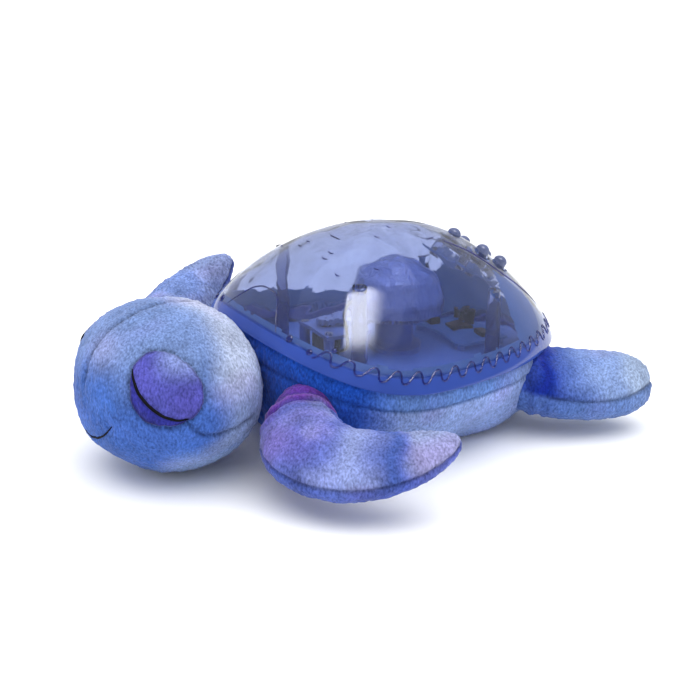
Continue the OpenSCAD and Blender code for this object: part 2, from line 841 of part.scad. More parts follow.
// Button: a stem with a retaining flange and a crowned top
module button(i) {
    foot = boss_floor - button_gap - button_flange_t;
    spot = button_spots[i];
    crown_r = (button_r * button_r + button_crown * button_crown) / (2 * button_crown);
    color("#5a5f9c") on_button_plane() translate([spot.x, spot.y, 0]) rotate_extrude() polygon(concat(
        [[0, foot], [button_flange_r, foot], [button_flange_r, foot + button_flange_t],
            [button_r, foot + button_flange_t]],
        [for (k = [0 : 8])
            let (a = asin(button_r / crown_r) * (1 - k / 8))
            [crown_r * sin(a), button_crown - crown_r * (1 - cos(a))]]
    ));
}
module button_power() { button(0); }
module button_light() { button(1); }
module button_motion() { button(2); }
module button_sound() { button(3); }
module button_timer() { button(4); }

plush_body();
head();
eyelid_left();
eyelid_right();
front_flipper_left();
front_flipper_right();
rear_flipper_left();
rear_flipper_right();
shell_dome();
rim_hoop();
base_pan();
chassis_plate();
shell_screws();
battery_door();
door_screw();
battery_cells();
battery_contacts();
speaker();
main_board();
board_components();
lamp_tower();
rotor_washer();
lamp_board();
lamp_emitters();
lamp_lens();
rotor_gear();
ripple_lens();
idler_axle();
idler_gear();
gear_plate();
gear_plate_screws();
motor();
motor_shaft();
motor_pinion();
motor_wire();
button_board();
button_board_screws();
tact_switches();
button_power();
button_light();
button_motion();
button_sound();
button_timer();
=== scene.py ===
"""Turtle night light projector: stuffed skins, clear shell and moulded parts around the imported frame.

Shapes are worked out in millimetres, as in the frame's source, and become metres when a mesh is made.
The head points to -Y, the turtle's left is +X and the floor is z = 0.
"""
import json
import math

import bmesh
import bpy
import numpy as np
from mathutils import Matrix, Vector
from mathutils.bvhtree import BVHTree
from mathutils.kdtree import KDTree


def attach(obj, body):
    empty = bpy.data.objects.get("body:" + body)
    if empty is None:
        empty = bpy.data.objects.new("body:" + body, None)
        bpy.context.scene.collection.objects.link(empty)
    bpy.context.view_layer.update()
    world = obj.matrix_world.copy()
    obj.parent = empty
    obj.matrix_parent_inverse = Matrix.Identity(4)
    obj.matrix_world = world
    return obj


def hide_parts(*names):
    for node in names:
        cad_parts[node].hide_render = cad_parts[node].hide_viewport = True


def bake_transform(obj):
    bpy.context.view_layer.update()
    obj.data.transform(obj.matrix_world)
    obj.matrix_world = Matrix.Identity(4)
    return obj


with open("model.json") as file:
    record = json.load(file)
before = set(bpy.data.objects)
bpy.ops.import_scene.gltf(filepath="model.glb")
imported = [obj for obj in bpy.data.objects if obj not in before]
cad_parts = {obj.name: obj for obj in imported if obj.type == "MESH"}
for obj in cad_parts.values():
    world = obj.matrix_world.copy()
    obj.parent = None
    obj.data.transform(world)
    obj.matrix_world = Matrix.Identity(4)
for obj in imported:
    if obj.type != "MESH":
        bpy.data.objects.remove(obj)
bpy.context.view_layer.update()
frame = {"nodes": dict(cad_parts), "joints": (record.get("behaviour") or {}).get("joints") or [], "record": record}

MM = 0.001
SLOT_OF = {part["node"]: part["material_slot"] for part in frame["record"]["subparts"]}

# Plan and profile of the shell
PLAN_W = 172.0
SHELL_FRONT = 62.0
SHELL_REAR = 143.0
WIDE_Y = -48.5
APEX_Y = -11.4
FRONT_Y = WIDE_Y - SHELL_FRONT
FRONT_POWER = 2.67
REAR_POWER = 1.65
EDGE_Z = 49.0
RIM_SLOPE = 0.038
RIM_RISE = 18.0
RISE_START_Y = -34.0
DOME_H = 73.0
SHELL_WALL = 2.4
POSTS = [(44, -62), (-44, -62), (38, 30), (-38, 30)]
POST_R = 4.0
POST_FOOT_Z = 46.0
SHELL_TINT = np.array([0.485, 0.537, 0.729])
SHELL_HAZE = 0.03
SKIRT_H = 8.8
SKIRT_TINT = np.array([0.045, 0.095, 0.43])
SKIRT_HAZE = 0.60

# Inner faces of the shell that take painted shade with a painted glow of bounced light: below a height, behind a
# place on both sides, and deep under the outer face
INNER_SHADE_H = 13.0
INNER_SHADE_Y = 37.0
INNER_SHADE_X = 20.0
INNER_SHADE_DEPTH = 4.5

# Raised lines on the shell as (angle in degrees, share of the reach), bubbles with a radius too
ARCH = [(255.5, 0.962), (259.5, 0.915), (263, 0.866), (266.8, 0.838), (270, 0.832)]
STROKES = [(269, 0.418), (310, 0.279), (314, 0.14), (259, 0.568), (281, 0.522), (36, 0.269), (300, 0.62),
           (330, 0.5)]
RIB = [(46, 0.315), (57.5, 0.466), (63.5, 0.648), (69.8, 0.773), (77, 0.90)]
BUBBLES = [(292.6, 0.957, 2.3), (305.2, 0.966, 1.9), (318, 0.93, 1.5)]
ARCH_R = 0.5
STROKE_R = 0.45
RIB_R = 0.55
LINE_SINK = 0.1

# Running wave above the skirt
WAVE_PERIOD = 13.6
WAVE_MIDDLE = 8.4
WAVE_SWING = math.radians(64)
WAVE_LEAN = 0.45
WAVE_R = 0.62
WAVE_START = math.radians(-52)
WAVE_END = math.radians(232)

# Buttons, on a plane that leans with the rear of the shell
BUTTON_PLACE = Vector((0, 42, 101.08))
BUTTON_LEAN = math.radians(-33)
BUTTON_SPOTS = [(0, -17.5), (10, -1.2), (-10, -1.2), (8, 15.5), (-8, 15.5)]
BUTTON_HOLE_R = 4.05
BOSS_R = 6.4
BOSS_FLOOR = -8.0
BOARD_POSTS = [(14, -13), (-14, -13), (0, 6.5)]
BOARD_POST_R = 3.0
BOARD_TOP = -15.0

# Stuffed body
BELLY_W = 96.0
BULGE_W = 169.0
LIP_W = 161.0
LIP_IN_W = 150.0
WELL_W = 86.8
BULGE_SHARE = 0.86
INNER_FLOOR_Z = 39.0
SEAM_SHARE = 0.80
HEM = [(168.6, 0.92, 0), (167.4, 0.97, 0), (164.5, 1.0, 0.9), (LIP_W - 2, 1.0, 1.5), (155.5, 1.0, 1.0),
       (LIP_IN_W, 1.0, -4.4)]
CHEST_SAG = 1.1
CHEST_SAG_Y = (-70.0, -95.0)
REAR_SAG = 0.8
REAR_SAG_Y = (10.0, 50.0)

# Head
HEAD_PLACE = np.array([0.0, -155.5, 46.9])
HEAD_REACH = np.array([58.0, 50.5, 46.0])
LID_MIDDLE = (60.5, 22.0)
LID_REACH = (23.0, 22.0)
LID_TILT = 0.16
RIGHT_LID_SHIFT = 5.0
LASH = [(38, 30.5), (40.2, 24.2), (45.8, 14.6), (56, 5.0), (65.3, 0.8), (73.5, 0.6)]
SMILE = [(-22, -16.6), (-14, -24), (-7, -27.8), (0, -29.4), (7, -27.8), (14, -24), (20, -18.8), (25.5, -12)]
LASH_R = 0.9
SMILE_R = 0.62
CHEEK_SEAM = [(72, 0), (77, -7), (84, -12), (100, -12.5), (124, -9)]
NECK_Y = -118.0
PRESS_Y = -130.0
PRESS_GAP = 0.4

# Limbs: a curve from inside the body to the tip, half widths at root and middle, half thicknesses at root and
# tip, and how blunt the tip is
FLIPPER_PATH = np.array([[48, -92, 40], [77, -136, 35], [119, -112.5, 16.5], [130.5, -52, 41.5]], float)
FOOT_PATH = np.array([[34, 42, 30], [46, 66, 29], [59, 95, 21], [70, 120, 29.5]], float)
FLIPPER_FORM = (FLIPPER_PATH, 16.0, 23.5, 16.0, 11.0, 7.5)
FOOT_FORM = (FOOT_PATH, 17.0, 28.0, 17.0, 17.0, 10.0)
LIMB_END = 0.9994
RIGHT_LIFT = 21.0
FLIPPER_BANK = -27.0
RIGHT_BANK = 14.0
FOOT_BANK = -10.0
SHOULDER_DIR = np.array([0.6, -0.8, 0.0])

# Edge seams of the limbs: their width and the angle round the limb by which they lie above its edges
SEAM_W = 1.3
SEAM_TURN = 0.32
FOOT_SEAM_TURN = 0.22

# Cloth: frames, pressure, coarse grid of a limb, furthest swell, and how much smaller the head starts
CLOTH_FRAMES = 20
CLOTH_PRESSURE = 4.0
SWELL_ROWS = 46
SWELL_SIDES = 30
HELD_ROWS = 4
LIMB_SWELL_CAP = 2.2
HEAD_SWELL_CAP = 1.6
HEAD_SLACK = 0.8
FLOOR_GAP = 0.2

SIDES = ((1, "left"), (-1, "right"))


def joint_place(name):
    """Place of a joint in millimetres."""
    joint = next(j for j in frame["joints"] if j["name"] == name)
    return np.array(joint["pos_m"]) / MM


SHOULDER = joint_place("front_left_swing")


# Small numeric tools

def srgb(red, green, blue):
    """Linear colour of an 8-bit screen colour."""
    c = np.array([red, green, blue]) / 255.0
    return np.where(c <= 0.04045, c / 12.92, ((c + 0.055) / 1.055) ** 2.4)


def mix(a, b, share):
    return a + (b - a) * share


def soft_step(low, high, value):
    """0 below low, 1 above high, smooth between."""
    s = np.clip((value - low) / (high - low), 0, 1)
    return s * s * (3 - 2 * s)


def signed_power(value, power):
    return np.sign(value) * np.abs(value) ** power


def hump(value, middle, width):
    """1 at the middle, falling smoothly to almost 0 two widths away."""
    return np.exp(-((value - middle) / width) ** 2)


# Factors that scatter whole-number places and seeds for the noise
SCATTER = np.array([374761393, 668265263, 362437])
SEED_SCATTER = 974711
MIXER = 1274126177
WORD = 0xFFFFFFFF


def lattice(cell, seed):
    """Repeatable value from -1 to 1 at whole-number points."""
    h = (cell @ SCATTER + seed * SEED_SCATTER) & WORD
    h = ((h ^ (h >> 13)) * MIXER) & WORD
    return (h ^ (h >> 16)) / (WORD >> 1) - 1.0


def noise(points, size, seed):
    """Smooth noise from -1 to 1 with lumps of the given size in millimetres."""
    q = points / size
    base = np.floor(q).astype(np.int64)
    f = q - base
    f = f * f * (3 - 2 * f)
    total = np.zeros(len(points))
    for corner in range(8):
        step = np.array([corner & 1, corner >> 1 & 1, corner >> 2 & 1])
        weight = np.prod(np.where(step == 1, f, 1 - f), axis=1)
        total += weight * lattice(base + step, seed)
    return total


def curve_through(points, count):
    """Smooth curve through points, as count points."""
    p = np.array(points, float)
    p = np.vstack([2 * p[0] - p[1], p, 2 * p[-1] - p[-2]])
    spans = len(p) - 3
    u = np.linspace(0, spans, count)
    i = np.minimum(u.astype(int), spans - 1)
    s = (u - i)[:, None]
    a, b, c, d = [p[i + k] for k in range(4)]
    bend = 2 * a - 5 * b + 4 * c - d
    twist = 3 * b - a - 3 * c + d
    return 0.5 * (2 * b + (c - a) * s + bend * s ** 2 + twist * s ** 3)


def line_distance(points, line):
    """Distance of each point from the nearest piece of a polyline."""
    best = np.full(len(points), 1e9)
    for a, b in zip(line[:-1], line[1:]):
        ab = b - a
        s = np.clip(((points - a) @ ab) / (ab @ ab), 0, 1)
        best = np.minimum(best, np.linalg.norm(points - a - s[:, None] * ab, axis=1))
    return best


# Forms

def oval(t, w):
    """Plan outline of the turtle at the angle t, scaled about the apex to the width w."""
    front = np.sin(t) < 0
    power = np.where(front, 2 / FRONT_POWER, 2 / REAR_POWER)
    reach = np.where(front, SHELL_FRONT, SHELL_REAR)
    x = w / 2 * signed_power(np.cos(t), power)
    y = APEX_Y + w / PLAN_W * (WIDE_Y - APEX_Y + reach * signed_power(np.sin(t), power))
    return x, y


def outline_run(start, count):
    """Angles once round the plan outline from start, and the distance along it to each."""
    t = np.linspace(start, start + 2 * math.pi, count)
    x, y = oval(t, PLAN_W)
    return t, np.concatenate([[0], np.cumsum(np.hypot(np.diff(x), np.diff(y)))])


def even_angles(count):
    """Angles of the plan outline at even steps along it."""
    t, run = outline_run(0.0, 40001)
    return np.interp(np.linspace(0, run[-1], count, endpoint=False), run, t)


def rim_at(y):
    """Height of the shell's lower edge at y."""
    rise = np.maximum(0, (RISE_START_Y - y) / (RISE_START_Y - FRONT_Y))
    return EDGE_Z - RIM_SLOPE * (y - APEX_Y) + RIM_RISE * rise ** 2


def edge_at(t):
    return rim_at(oval(t, PLAN_W)[1])


def dome_point(t, r, inset=0.0):
    """Point of the shell at the plan angle t and the share r of its reach."""
    x, y = oval(t, PLAN_W - 2 * inset)
    z = mix(EDGE_Z, edge_at(t), r) + (DOME_H - inset) * (1 - r ** 1.7) ** 0.8
    return np.stack([r * x, mix(APEX_Y, y, r), z], axis=-1)


def share_at_height(height):
    """Share of the shell's reach at a height above its lower edge."""
    return (1 - (height / DOME_H) ** (1 / 0.8)) ** (1 / 1.7)


def head_point(a, b):
    """Point of the head at the longitude a from the snout and the latitude b, in degrees."""
    a, b = np.radians(a), np.radians(b)
    way = np.stack([np.cos(b) * np.sin(a), -np.cos(b) * np.cos(a), np.sin(b)], axis=-1)
    return HEAD_PLACE + HEAD_REACH * way


def limb_grid(path, root_w, mid_w, root_t, tip_t, tip_power, bank, rows, sides):
    """Points of a stuffed limb as rows from root to tip, with the share s along it and the angle t round it.
    The rows lie closer at the round tip."""
    s = LIMB_END * np.sin(np.linspace(0, math.pi / 2, rows)) ** 0.92
    t = np.linspace(0, 2 * math.pi, sides, endpoint=False)
    u = s[:, None]
    v = 1 - u
    middle = v ** 3 * path[0] + 3 * v ** 2 * u * path[1] + 3 * v * u ** 2 * path[2] + u ** 3 * path[3]
    ahead = v ** 2 * (path[1] - path[0]) + 2 * v * u * (path[2] - path[1]) + u ** 2 * (path[3] - path[2])
    ahead /= np.linalg.norm(ahead, axis=1)[:, None]
    flat = np.cross(ahead, [0, 0, 1])
    flat /= np.linalg.norm(flat, axis=1)[:, None]
    rise = np.cross(flat, ahead)
    lean = math.radians(bank)
    chord = math.cos(lean) * flat + math.sin(lean) * rise
    thick = math.cos(lean) * rise - math.sin(lean) * flat
    taper = np.sqrt(1 - s ** tip_power)
    w = taper * (root_w + (mid_w - root_w) * np.sin(math.pi * s ** 0.9))
    h = taper * mix(root_t, tip_t, s)
    points = (middle[:, None, :] + (w[:, None] * np.cos(t))[..., None] * chord[:, None, :]
              - (h[:, None] * np.sin(t))[..., None] * thick[:, None, :])
    return points, s, t


def grid_faces(rows, sides, closed=False):
    """Quads of rows that are closed rings of sides points; closed joins the last row to the first."""
    faces = []
    for i in range(rows if closed else rows - 1):
        n = (i + 1) % rows
        for j in range(sides):
            k = (j + 1) % sides
            faces.append((i * sides + j, i * sides + k, n * sides + k, n * sides + j))
    return faces


def closed_tube(points):
    """Vertices and faces of a tube of rings with a middle point at each end."""
    rows, sides = points.shape[:2]
    verts = np.vstack([points.reshape(-1, 3), points[0].mean(0), points[-1].mean(0)])
    first, last = rows * sides, rows * sides + 1
    faces = grid_faces(rows, sides)
    for j in range(sides):
        k = (j + 1) % sides
        faces.append((first, k, j))
        faces.append((last, (rows - 1) * sides + j, (rows - 1) * sides + k))
    return verts, faces


# Meshes

def add_object(name, data):
    obj = bpy.data.objects.new(name, data)
    bpy.context.scene.collection.objects.link(obj)
    return obj


def new_mesh(name, verts, faces):
    """Object of a closed mesh given in millimetres, with smooth faces turned outwards."""
    mesh = bpy.data.meshes.new(name)
    mesh.from_pydata((np.asarray(verts) * MM).tolist(), [], faces)
    bm = bmesh.new()
    bm.from_mesh(mesh)
    bmesh.ops.recalc_face_normals(bm, faces=bm.faces)
    bm.to_mesh(mesh)
    bm.free()
    mesh.polygons.foreach_set("use_smooth", [True] * len(mesh.polygons))
    return add_object(name, mesh)


def apply_modifiers(obj):
    mesh = bpy.data.meshes.new_from_object(obj.evaluated_get(bpy.context.evaluated_depsgraph_get()))
    obj.modifiers.clear()
    obj.data = mesh


def points_of(obj):
    co = np.empty(len(obj.data.vertices) * 3)
    obj.data.vertices.foreach_get("co", co)
    return co.reshape(-1, 3) / MM


def normals_of(obj):
    n = np.empty(len(obj.data.vertices) * 3, np.float32)
    obj.data.vertex_normals.foreach_get("vector", n)
    return n.reshape(-1, 3).astype(float)


def move_points(obj, points):
    obj.data.vertices.foreach_set("co", (points * MM).ravel())
    obj.data.update()


def raised(points, out, lift, floor):
    """Points lifted along their normals and kept above a floor."""
    moved = points + out * lift[:, None]
    moved[:, 2] = np.maximum(moved[:, 2], floor)
    return moved


def set_tint(obj, colours, haze=1.0):
    """Stores one linear colour for each point, and how hazy the surface is there."""
    layer = obj.data.attributes.new("tint", "FLOAT_COLOR", "POINT")
    full = np.ones((len(colours), 4), np.float32)
    full[:, :3] = np.clip(colours, 0.003, 0.95)
    full[:, 3] = haze
    layer.data.foreach_set("color", full.ravel())


def bvh_of(obj):
    verts = [v.co.copy() for v in obj.data.vertices]
    return BVHTree.FromPolygons(verts, [tuple(p.vertices) for p in obj.data.polygons])


def swell(verts, faces, held, cap):
    """Cloth swell of a coarse skin: its points after the simulation, moved no further than cap."""
    obj = new_mesh("swell", verts, faces)
    pins = obj.vertex_groups.new(name="pins")
    pins.add([int(i) for i in np.flatnonzero(held)], 1.0, "REPLACE")
    cloth = obj.modifiers.new("cloth", "CLOTH")
    cloth.settings.use_pressure = True
    cloth.settings.uniform_pressure_force = CLOTH_PRESSURE
    cloth.settings.shrink_min = -0.03
    cloth.settings.vertex_group_mass = "pins"
    cloth.settings.effector_weights.gravity = 0
    scene = bpy.context.scene
    for number in range(1, CLOTH_FRAMES + 1):
        scene.frame_set(number)
    apply_modifiers(obj)
    moved = points_of(obj) - verts
    bpy.data.objects.remove(obj)
    scene.frame_set(1)
    far = np.linalg.norm(moved, axis=1)[:, None]
    return verts + moved * np.minimum(1, cap / np.maximum(far, 1e-6))


def refine_rows(coarse, rows, sides):
    """Finer grid of a tube of rings, straight between its points along and round it."""
    from_rows = np.linspace(0, 1, coarse.shape[0])
    out = np.empty((rows, coarse.shape[1], 3))
    for j in range(coarse.shape[1]):
        for k in range(3):
            out[:, j, k] = np.interp(np.linspace(0, 1, rows), from_rows, coarse[:, j, k])
    ring = np.concatenate([out, out[:, :1]], axis=1)
    from_sides = np.linspace(0, 1, ring.shape[1])
    fine = np.empty((rows, sides, 3))
    for i in range(rows):
        for k in range(3):
            fine[i, :, k] = np.interp(np.arange(sides) / sides, from_sides, ring[i, :, k])
    return fine


def pile(points):
    """Height of short tufted pile over the cloth."""
    strokes = points * np.array([1.0, 1.0, 0.6])
    return (0.46 * noise(strokes, 1.8, 3) + 0.34 * noise(strokes, 3.3, 5) + 0.3 * noise(points, 9.0, 7)
            + 0.5 * noise(points, 24.0, 11))


def partings(points, seed):
    """Thin curved lines, 1 on the line, where the pile parts."""
    line = hump(noise(points, 6.0, seed), 0, 0.26)
    return line * soft_step(0.0, 0.5, noise(points, 13.0, seed + 1))


def mottle(colours, points, seed, depth=1.0):
    """Uneven dye: patches of lighter and darker colour with a little violet in them."""
    patch = noise(points, 17.0, seed) * 0.6 + noise(points, 6.5, seed + 1) * 0.4
    fleck = noise(points, 2.4, seed + 2) * 0.5 + noise(points, 1.3, seed + 3) * 0.5
    colours = colours * (1 + depth * (0.28 * patch + 0.13 * fleck))[:, None]
    violet = np.clip(noise(points, 19.0, seed + 4) - 0.1, 0, 1)[:, None] * 0.45 * depth
    return mix(colours, colours * np.array([1.25, 0.85, 1.02]), violet)


# Share of a dye's screen colour that the cloth reflects under the bright studio light
DYE = 0.74


def layered(count, base, layers):
    """Colours of count points: a base colour under layers of (colour, weight at each point)."""
    colours = np.tile(base, (count, 1))
    for colour, weight in layers:
        colours = mix(colours, colour, np.clip(weight, 0, 1)[:, None])
    return colours


def dye_skin(obj, points, base, layers, seed, shade, depth=1.0):
    """Stores a plush dye in layers, made uneven and darkened by shade, a factor that carries painted shade in
    seams, creases and partings.
    """
    dye = mottle(layered(len(points), base, layers), points, seed, depth) * shade[:, None]
    set_tint(obj, DYE * dye)


# Materials

class Nodes:
    """Node tree of a material, light or world, with short ways to add nodes and fill inputs."""

    def __init__(self, owner, main):
        owner.use_nodes = True
        self.tree = owner.node_tree
        self.main = self.tree.nodes[main]

    def fill(self, node, inputs):
        """Gives inputs of a node values or other nodes' outputs."""
        for name, value in inputs.items():
            if isinstance(value, bpy.types.NodeSocket):
                self.tree.links.new(value, node.inputs[name])
            else:
                node.inputs[name].default_value = tuple(value) if np.ndim(value) else value

    def give(self, inputs):
        """Fills inputs of the main node."""
        self.fill(self.main, inputs)

    def add(self, kind, inputs, output, operation=None):
        """Adds a node with its inputs filled and returns one of its outputs."""
        node = self.tree.nodes.new(kind)
        if operation:
            node.operation = operation
        self.fill(node, inputs)
        return node.outputs[output]

    def stored(self, output):
        """Colour or alpha of the tint stored at each point."""
        node = self.tree.nodes.new("ShaderNodeAttribute")
        node.attribute_name = "tint"
        return node.outputs[output]

    def noise(self, scale, detail, stretch=(1, 1, 1)):
        place = self.add("ShaderNodeTexCoord", {}, "Object")
        place = self.add("ShaderNodeMapping", {"Vector": place, "Scale": stretch}, "Vector")
        return self.add("ShaderNodeTexNoise", {"Vector": place, "Scale": scale, "Detail": detail}, "Fac")

    def span(self, value, start, end, low=0.0, high=1.0, curve="LINEAR"):
        """Maps a value between start and end to one between low and high."""
        node = self.tree.nodes.new("ShaderNodeMapRange")
        node.interpolation_type = curve
        self.fill(node, {"Value": value, "From Min": start, "From Max": end, "To Min": low, "To Max": high})
        return node.outputs["Result"]

    def ramp(self, value, low, high):
        """Maps a noise value to a span of numbers."""
        return self.span(value, 0.3, 0.7, low, high)

    def tint(self, colour, value, low, high):
        """A colour made lighter and darker by a noise value."""
        share = self.ramp(value, low, high)
        return self.add("ShaderNodeVectorMath", {0: colour, "Scale": share}, "Vector", "SCALE")

    def bump(self, value, distance, strength):
        inputs = {"Height": value, "Distance": distance, "Strength": strength}
        return self.add("ShaderNodeBump", inputs, "Normal")


def new_material(name):
    material = bpy.data.materials.new(name)
    return material, Nodes(material, "Principled BSDF")


def plush_material(name):
    """Short-pile plush: the stored dye, fine flecks, soft sheen and fibre bump."""
    material, nodes = new_material(name)
    fleck = nodes.noise(820, 3.0, (1, 1, 0.6))
    nodes.give({
        "Base Color": nodes.tint(nodes.stored("Color"), fleck, 0.6, 1.36),
        "Normal": nodes.bump(fleck, 0.0008, 0.6),
        "Roughness": nodes.ramp(fleck, 0.98, 0.86),
        "Specular IOR Level": 0.12,
        "Sheen Weight": 0.18,
        "Sheen Roughness": 0.45,
        "Sheen Tint": (0.72, 0.78, 1.0, 1.0),
    })
    return material


def moulded_material(name, colour, rough=0.42, grain=900, metal=0.0, shade=0.12, glow=0.0):
    """Moulded or plated surface with a fine grain and uneven gloss; glow stands for bounced light."""
    material, nodes = new_material(name)
    broad = nodes.noise(60, 5.0)
    fine = nodes.noise(grain, 2.0)
    nodes.give({
        "Base Color": nodes.tint(colour, broad, 1 - shade, 1 + shade),
        "Roughness": nodes.ramp(fine, rough * 0.8, rough * 1.2),
        "Normal": nodes.bump(fine, 0.0001, 0.35),
        "Metallic": metal,
        "Emission Color": (*colour, 1.0),
        "Emission Strength": glow,
    })
    return material


def clear_material(name, colour, rough, through, ripple=0.12, scale=45):
    """Clear tinted plastic with faint flow marks."""
    material, nodes = new_material(name)
    flow = nodes.noise(scale, 3.0, (1, 1, 0.5))
    nodes.give({
        "Base Color": nodes.tint(colour, flow, 0.93, 1.07),
        "Roughness": nodes.ramp(flow, rough * 0.6, rough * 1.4),
        "Normal": nodes.bump(flow, 0.005 * ripple, ripple),
        "Transmission Weight": through,
        "IOR": 1.49,
    })
    return material


def shell_material():
    """Clear blue shell, cloudier where the stored haze says so, with faint flow marks."""
    material, nodes = new_material("shell_clear_blue")
    flow = nodes.noise(38, 2.0, (1, 1, 0.6))
    clear = nodes.add("ShaderNodeMath", {0: 1.0, 1: nodes.stored("Alpha")}, "Value", "SUBTRACT")
    nodes.give({
        "Base Color": nodes.tint(nodes.stored("Color"), flow, 0.93, 1.07),
        "Transmission Weight": clear,
        "Roughness": nodes.ramp(flow, 0.02, 0.05),
        "IOR": 1.4,
    })
    return material


def thread_material(name, colour):
    """Satin-stitched thread."""
    material, nodes = new_material(name)
    strand = nodes.noise(1500, 2.0, (1, 1, 0.3))
    nodes.give({
        "Base Color": nodes.tint(colour, strand, 0.6, 1.6),
        "Specular IOR Level": 0.1,
        "Normal": nodes.bump(strand, 0.0004, 0.6),
        "Roughness": nodes.ramp(strand, 0.5, 0.75),
    })
    return material


FINISH = {
    "frame_plastic": moulded_material("frame_moulded", srgb(58, 74, 150)),
    "button_plastic": moulded_material("button_moulded", srgb(86, 95, 132), 0.3),
    "pale_plastic": moulded_material("pale_moulded", srgb(120, 140, 196)),
    "gear_plastic": moulded_material("gear_acetal", srgb(150, 165, 206), 0.35),
    "ripple_plastic": clear_material("ripple_clear", srgb(146, 168, 238), 0.15, 0.35, ripple=0.9, scale=130),
    "lamp_plastic": clear_material("lamp_clear", srgb(235, 238, 245), 0.04, 0.9),
    "lamp_phosphor": moulded_material("diode_phosphor", srgb(228, 205, 96), 0.3),
    "lamp_white": moulded_material("lamp_board_white", srgb(214, 216, 220), 0.4, metal=0.3),
    "steel": moulded_material("plated_steel", srgb(190, 190, 196), 0.28, 1400, 1.0, 0.06),
    "cell_jacket": moulded_material("cell_jacket_gold", srgb(190, 150, 60), 0.35, 700, 0.6),
    "speaker_black": moulded_material("speaker_cone", srgb(32, 32, 36), 0.6, 500),
    "motor_can": moulded_material("motor_can_dark", srgb(62, 58, 58), 0.35, 900, 0.7),
    "wire_jacket": moulded_material("wire_rubber", srgb(22, 22, 26), 0.5),
}
# Painted interior shade: a dark blue that glows a little as painted bounced light, put on the shell's inner faces
# and on the boards
INNER_SHADE_GLOW = moulded_material("inner_shade_glow", np.array([0.05, 0.11, 0.30]), 0.45, glow=0.5)
NODE_FINISH = {
    # The deck glows a little: painted bounced light
    "chassis_plate": moulded_material("deck_moulded_glow", srgb(104, 134, 198), 0.5, glow=0.1),
    # The boards take the painted interior shade and glow in place of their own colour
    "main_board": INNER_SHADE_GLOW,
    "button_board": INNER_SHADE_GLOW,
    "tact_switches": INNER_SHADE_GLOW,
    "board_components": moulded_material("part_brown", srgb(116, 92, 66), 0.45),
    "rim_hoop": moulded_material("hoop_moulded", srgb(90, 110, 190), 0.5),
}
PLUSH = plush_material("plush_dyed")
SHELL = shell_material()
LINE = clear_material("shell_line_clear", srgb(84, 96, 176), 0.05, 0.9)
CREASE = moulded_material("crease_violet", srgb(50, 48, 112), 0.4)
THREAD = thread_material("thread_black", srgb(6, 6, 14))


def finish_piece(obj, material, nodes=(), body=None):
    """Material, slot, replaced nodes and body of a piece."""
    obj.data.materials.clear()
    obj.data.materials.append(material)
    if nodes:
        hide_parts(*nodes)
    if body:
        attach(obj, body)


# Stuffed body

def body_profile(rows):
    """Widths, shares of the edge's height and lifts of the body's rings, from the well's foot to the hem."""
    q = np.linspace(0, 90, rows) ** 1.35
    q = np.radians(90 * q / q[-1])
    side = [(mix(BELLY_W, BULGE_W, math.sin(a) ** 0.9), BULGE_SHARE * (1 - math.cos(a)) ** 0.56, 0.0)
            for a in q]
    foot = [(w, 0.0, 0.0) for w in np.linspace(WELL_W, BELLY_W, 7)[:-1]]
    hem = curve_through([side[-1]] + HEM, 17)[1:]
    return foot + side + [tuple(p) for p in hem]


def body_rings(count, rows):
    """Rings of the body's skin, and the height of the shell's edge over each point of a ring."""
    t = even_angles(count)
    edge = edge_at(t)
    _, edge_y = oval(t, BULGE_W)
    sag = 1 + CHEST_SAG * soft_step(*CHEST_SAG_Y, edge_y) + REAR_SAG * soft_step(*REAR_SAG_Y, edge_y)
    rings = []
    for w, share, lift in body_profile(rows):
        x, y = oval(t, w)
        if share < BULGE_SHARE:
            share = BULGE_SHARE * (share / BULGE_SHARE) ** sag
        rings.append(np.stack([x, y, share * edge + lift], axis=-1))
    for w, z in ((LIP_IN_W - 3, INNER_FLOOR_Z), (WELL_W + 30, INNER_FLOOR_Z), (WELL_W, INNER_FLOOR_Z),
                 (WELL_W, INNER_FLOOR_Z / 2)):
        x, y = oval(t, w)
        rings.append(np.stack([x, y, np.full(count, z)], axis=-1))
    return np.array(rings), edge


def make_body():
    """Stuffed body: one closed skin round the pan, with a level seam and a turned hem."""
    count, rows = 460, 74
    rings, edge = body_rings(count, rows)
    m = len(rings)
    obj = new_mesh("plush_body_skin", rings.reshape(-1, 3), grid_faces(m, count, True))
    p, out = points_of(obj), normals_of(obj)
    rise = p[:, 2] / np.tile(edge, m)
    row = np.repeat(np.arange(m), count)
    soft = soft_step(4, 14, row) * (1 - soft_step(m - 16, m - 12, row))
    seam = hump(rise, SEAM_SHARE, 0.018)
    gather = np.sin(p[:, 1] / 3.4 + 1.5 * noise(p, 11, 41)) * soft_step(35, 52, p[:, 1])
    gather *= 1 - soft_step(74, 90, p[:, 1])
    lift = soft * (pile(p) - 0.9 * seam + 0.7 * gather * (1 - soft_step(0.75, 0.95, rise)))
    move_points(obj, raised(p, out, lift, 0))
    low = 1 - soft_step(SEAM_SHARE - 0.03, SEAM_SHARE + 0.01, rise)
    chest = 1 - soft_step(-88, -52, p[:, 1] + 9 * noise(p, 16, 97))
    # The last argument darkens the dye along the seam: painted shade in its groove
    dye_skin(obj, p, srgb(98, 134, 204), [
        (srgb(144, 166, 222), low * 0.9),
        (srgb(124, 145, 200), soft_step(8, 40, p[:, 1]) * 0.85),
        (srgb(24, 82, 192), chest * 0.95),
    ], 101, 1 - 0.4 * seam)
    finish_piece(obj, PLUSH, ["plush_body"], "body")
    return obj


# Shell

def shell_rings(count, rows, inset, ripple):
    """Rings of one face of the shell from its edge to its top; ripple makes it slightly wavy."""
    t = even_angles(count)
    rings = []
    for i in range(rows, 0, -1):
        r = math.sin(math.pi / 2 * i / rows)
        ring = dome_point(t, r, inset)
        if ripple:
            fade = 1 - r ** 12
            ring[:, 2] += fade * (0.35 * noise(ring, 9.0, 61) + 0.5 * noise(ring, 21.0, 67))
        rings.append(ring)
    return np.array(rings)


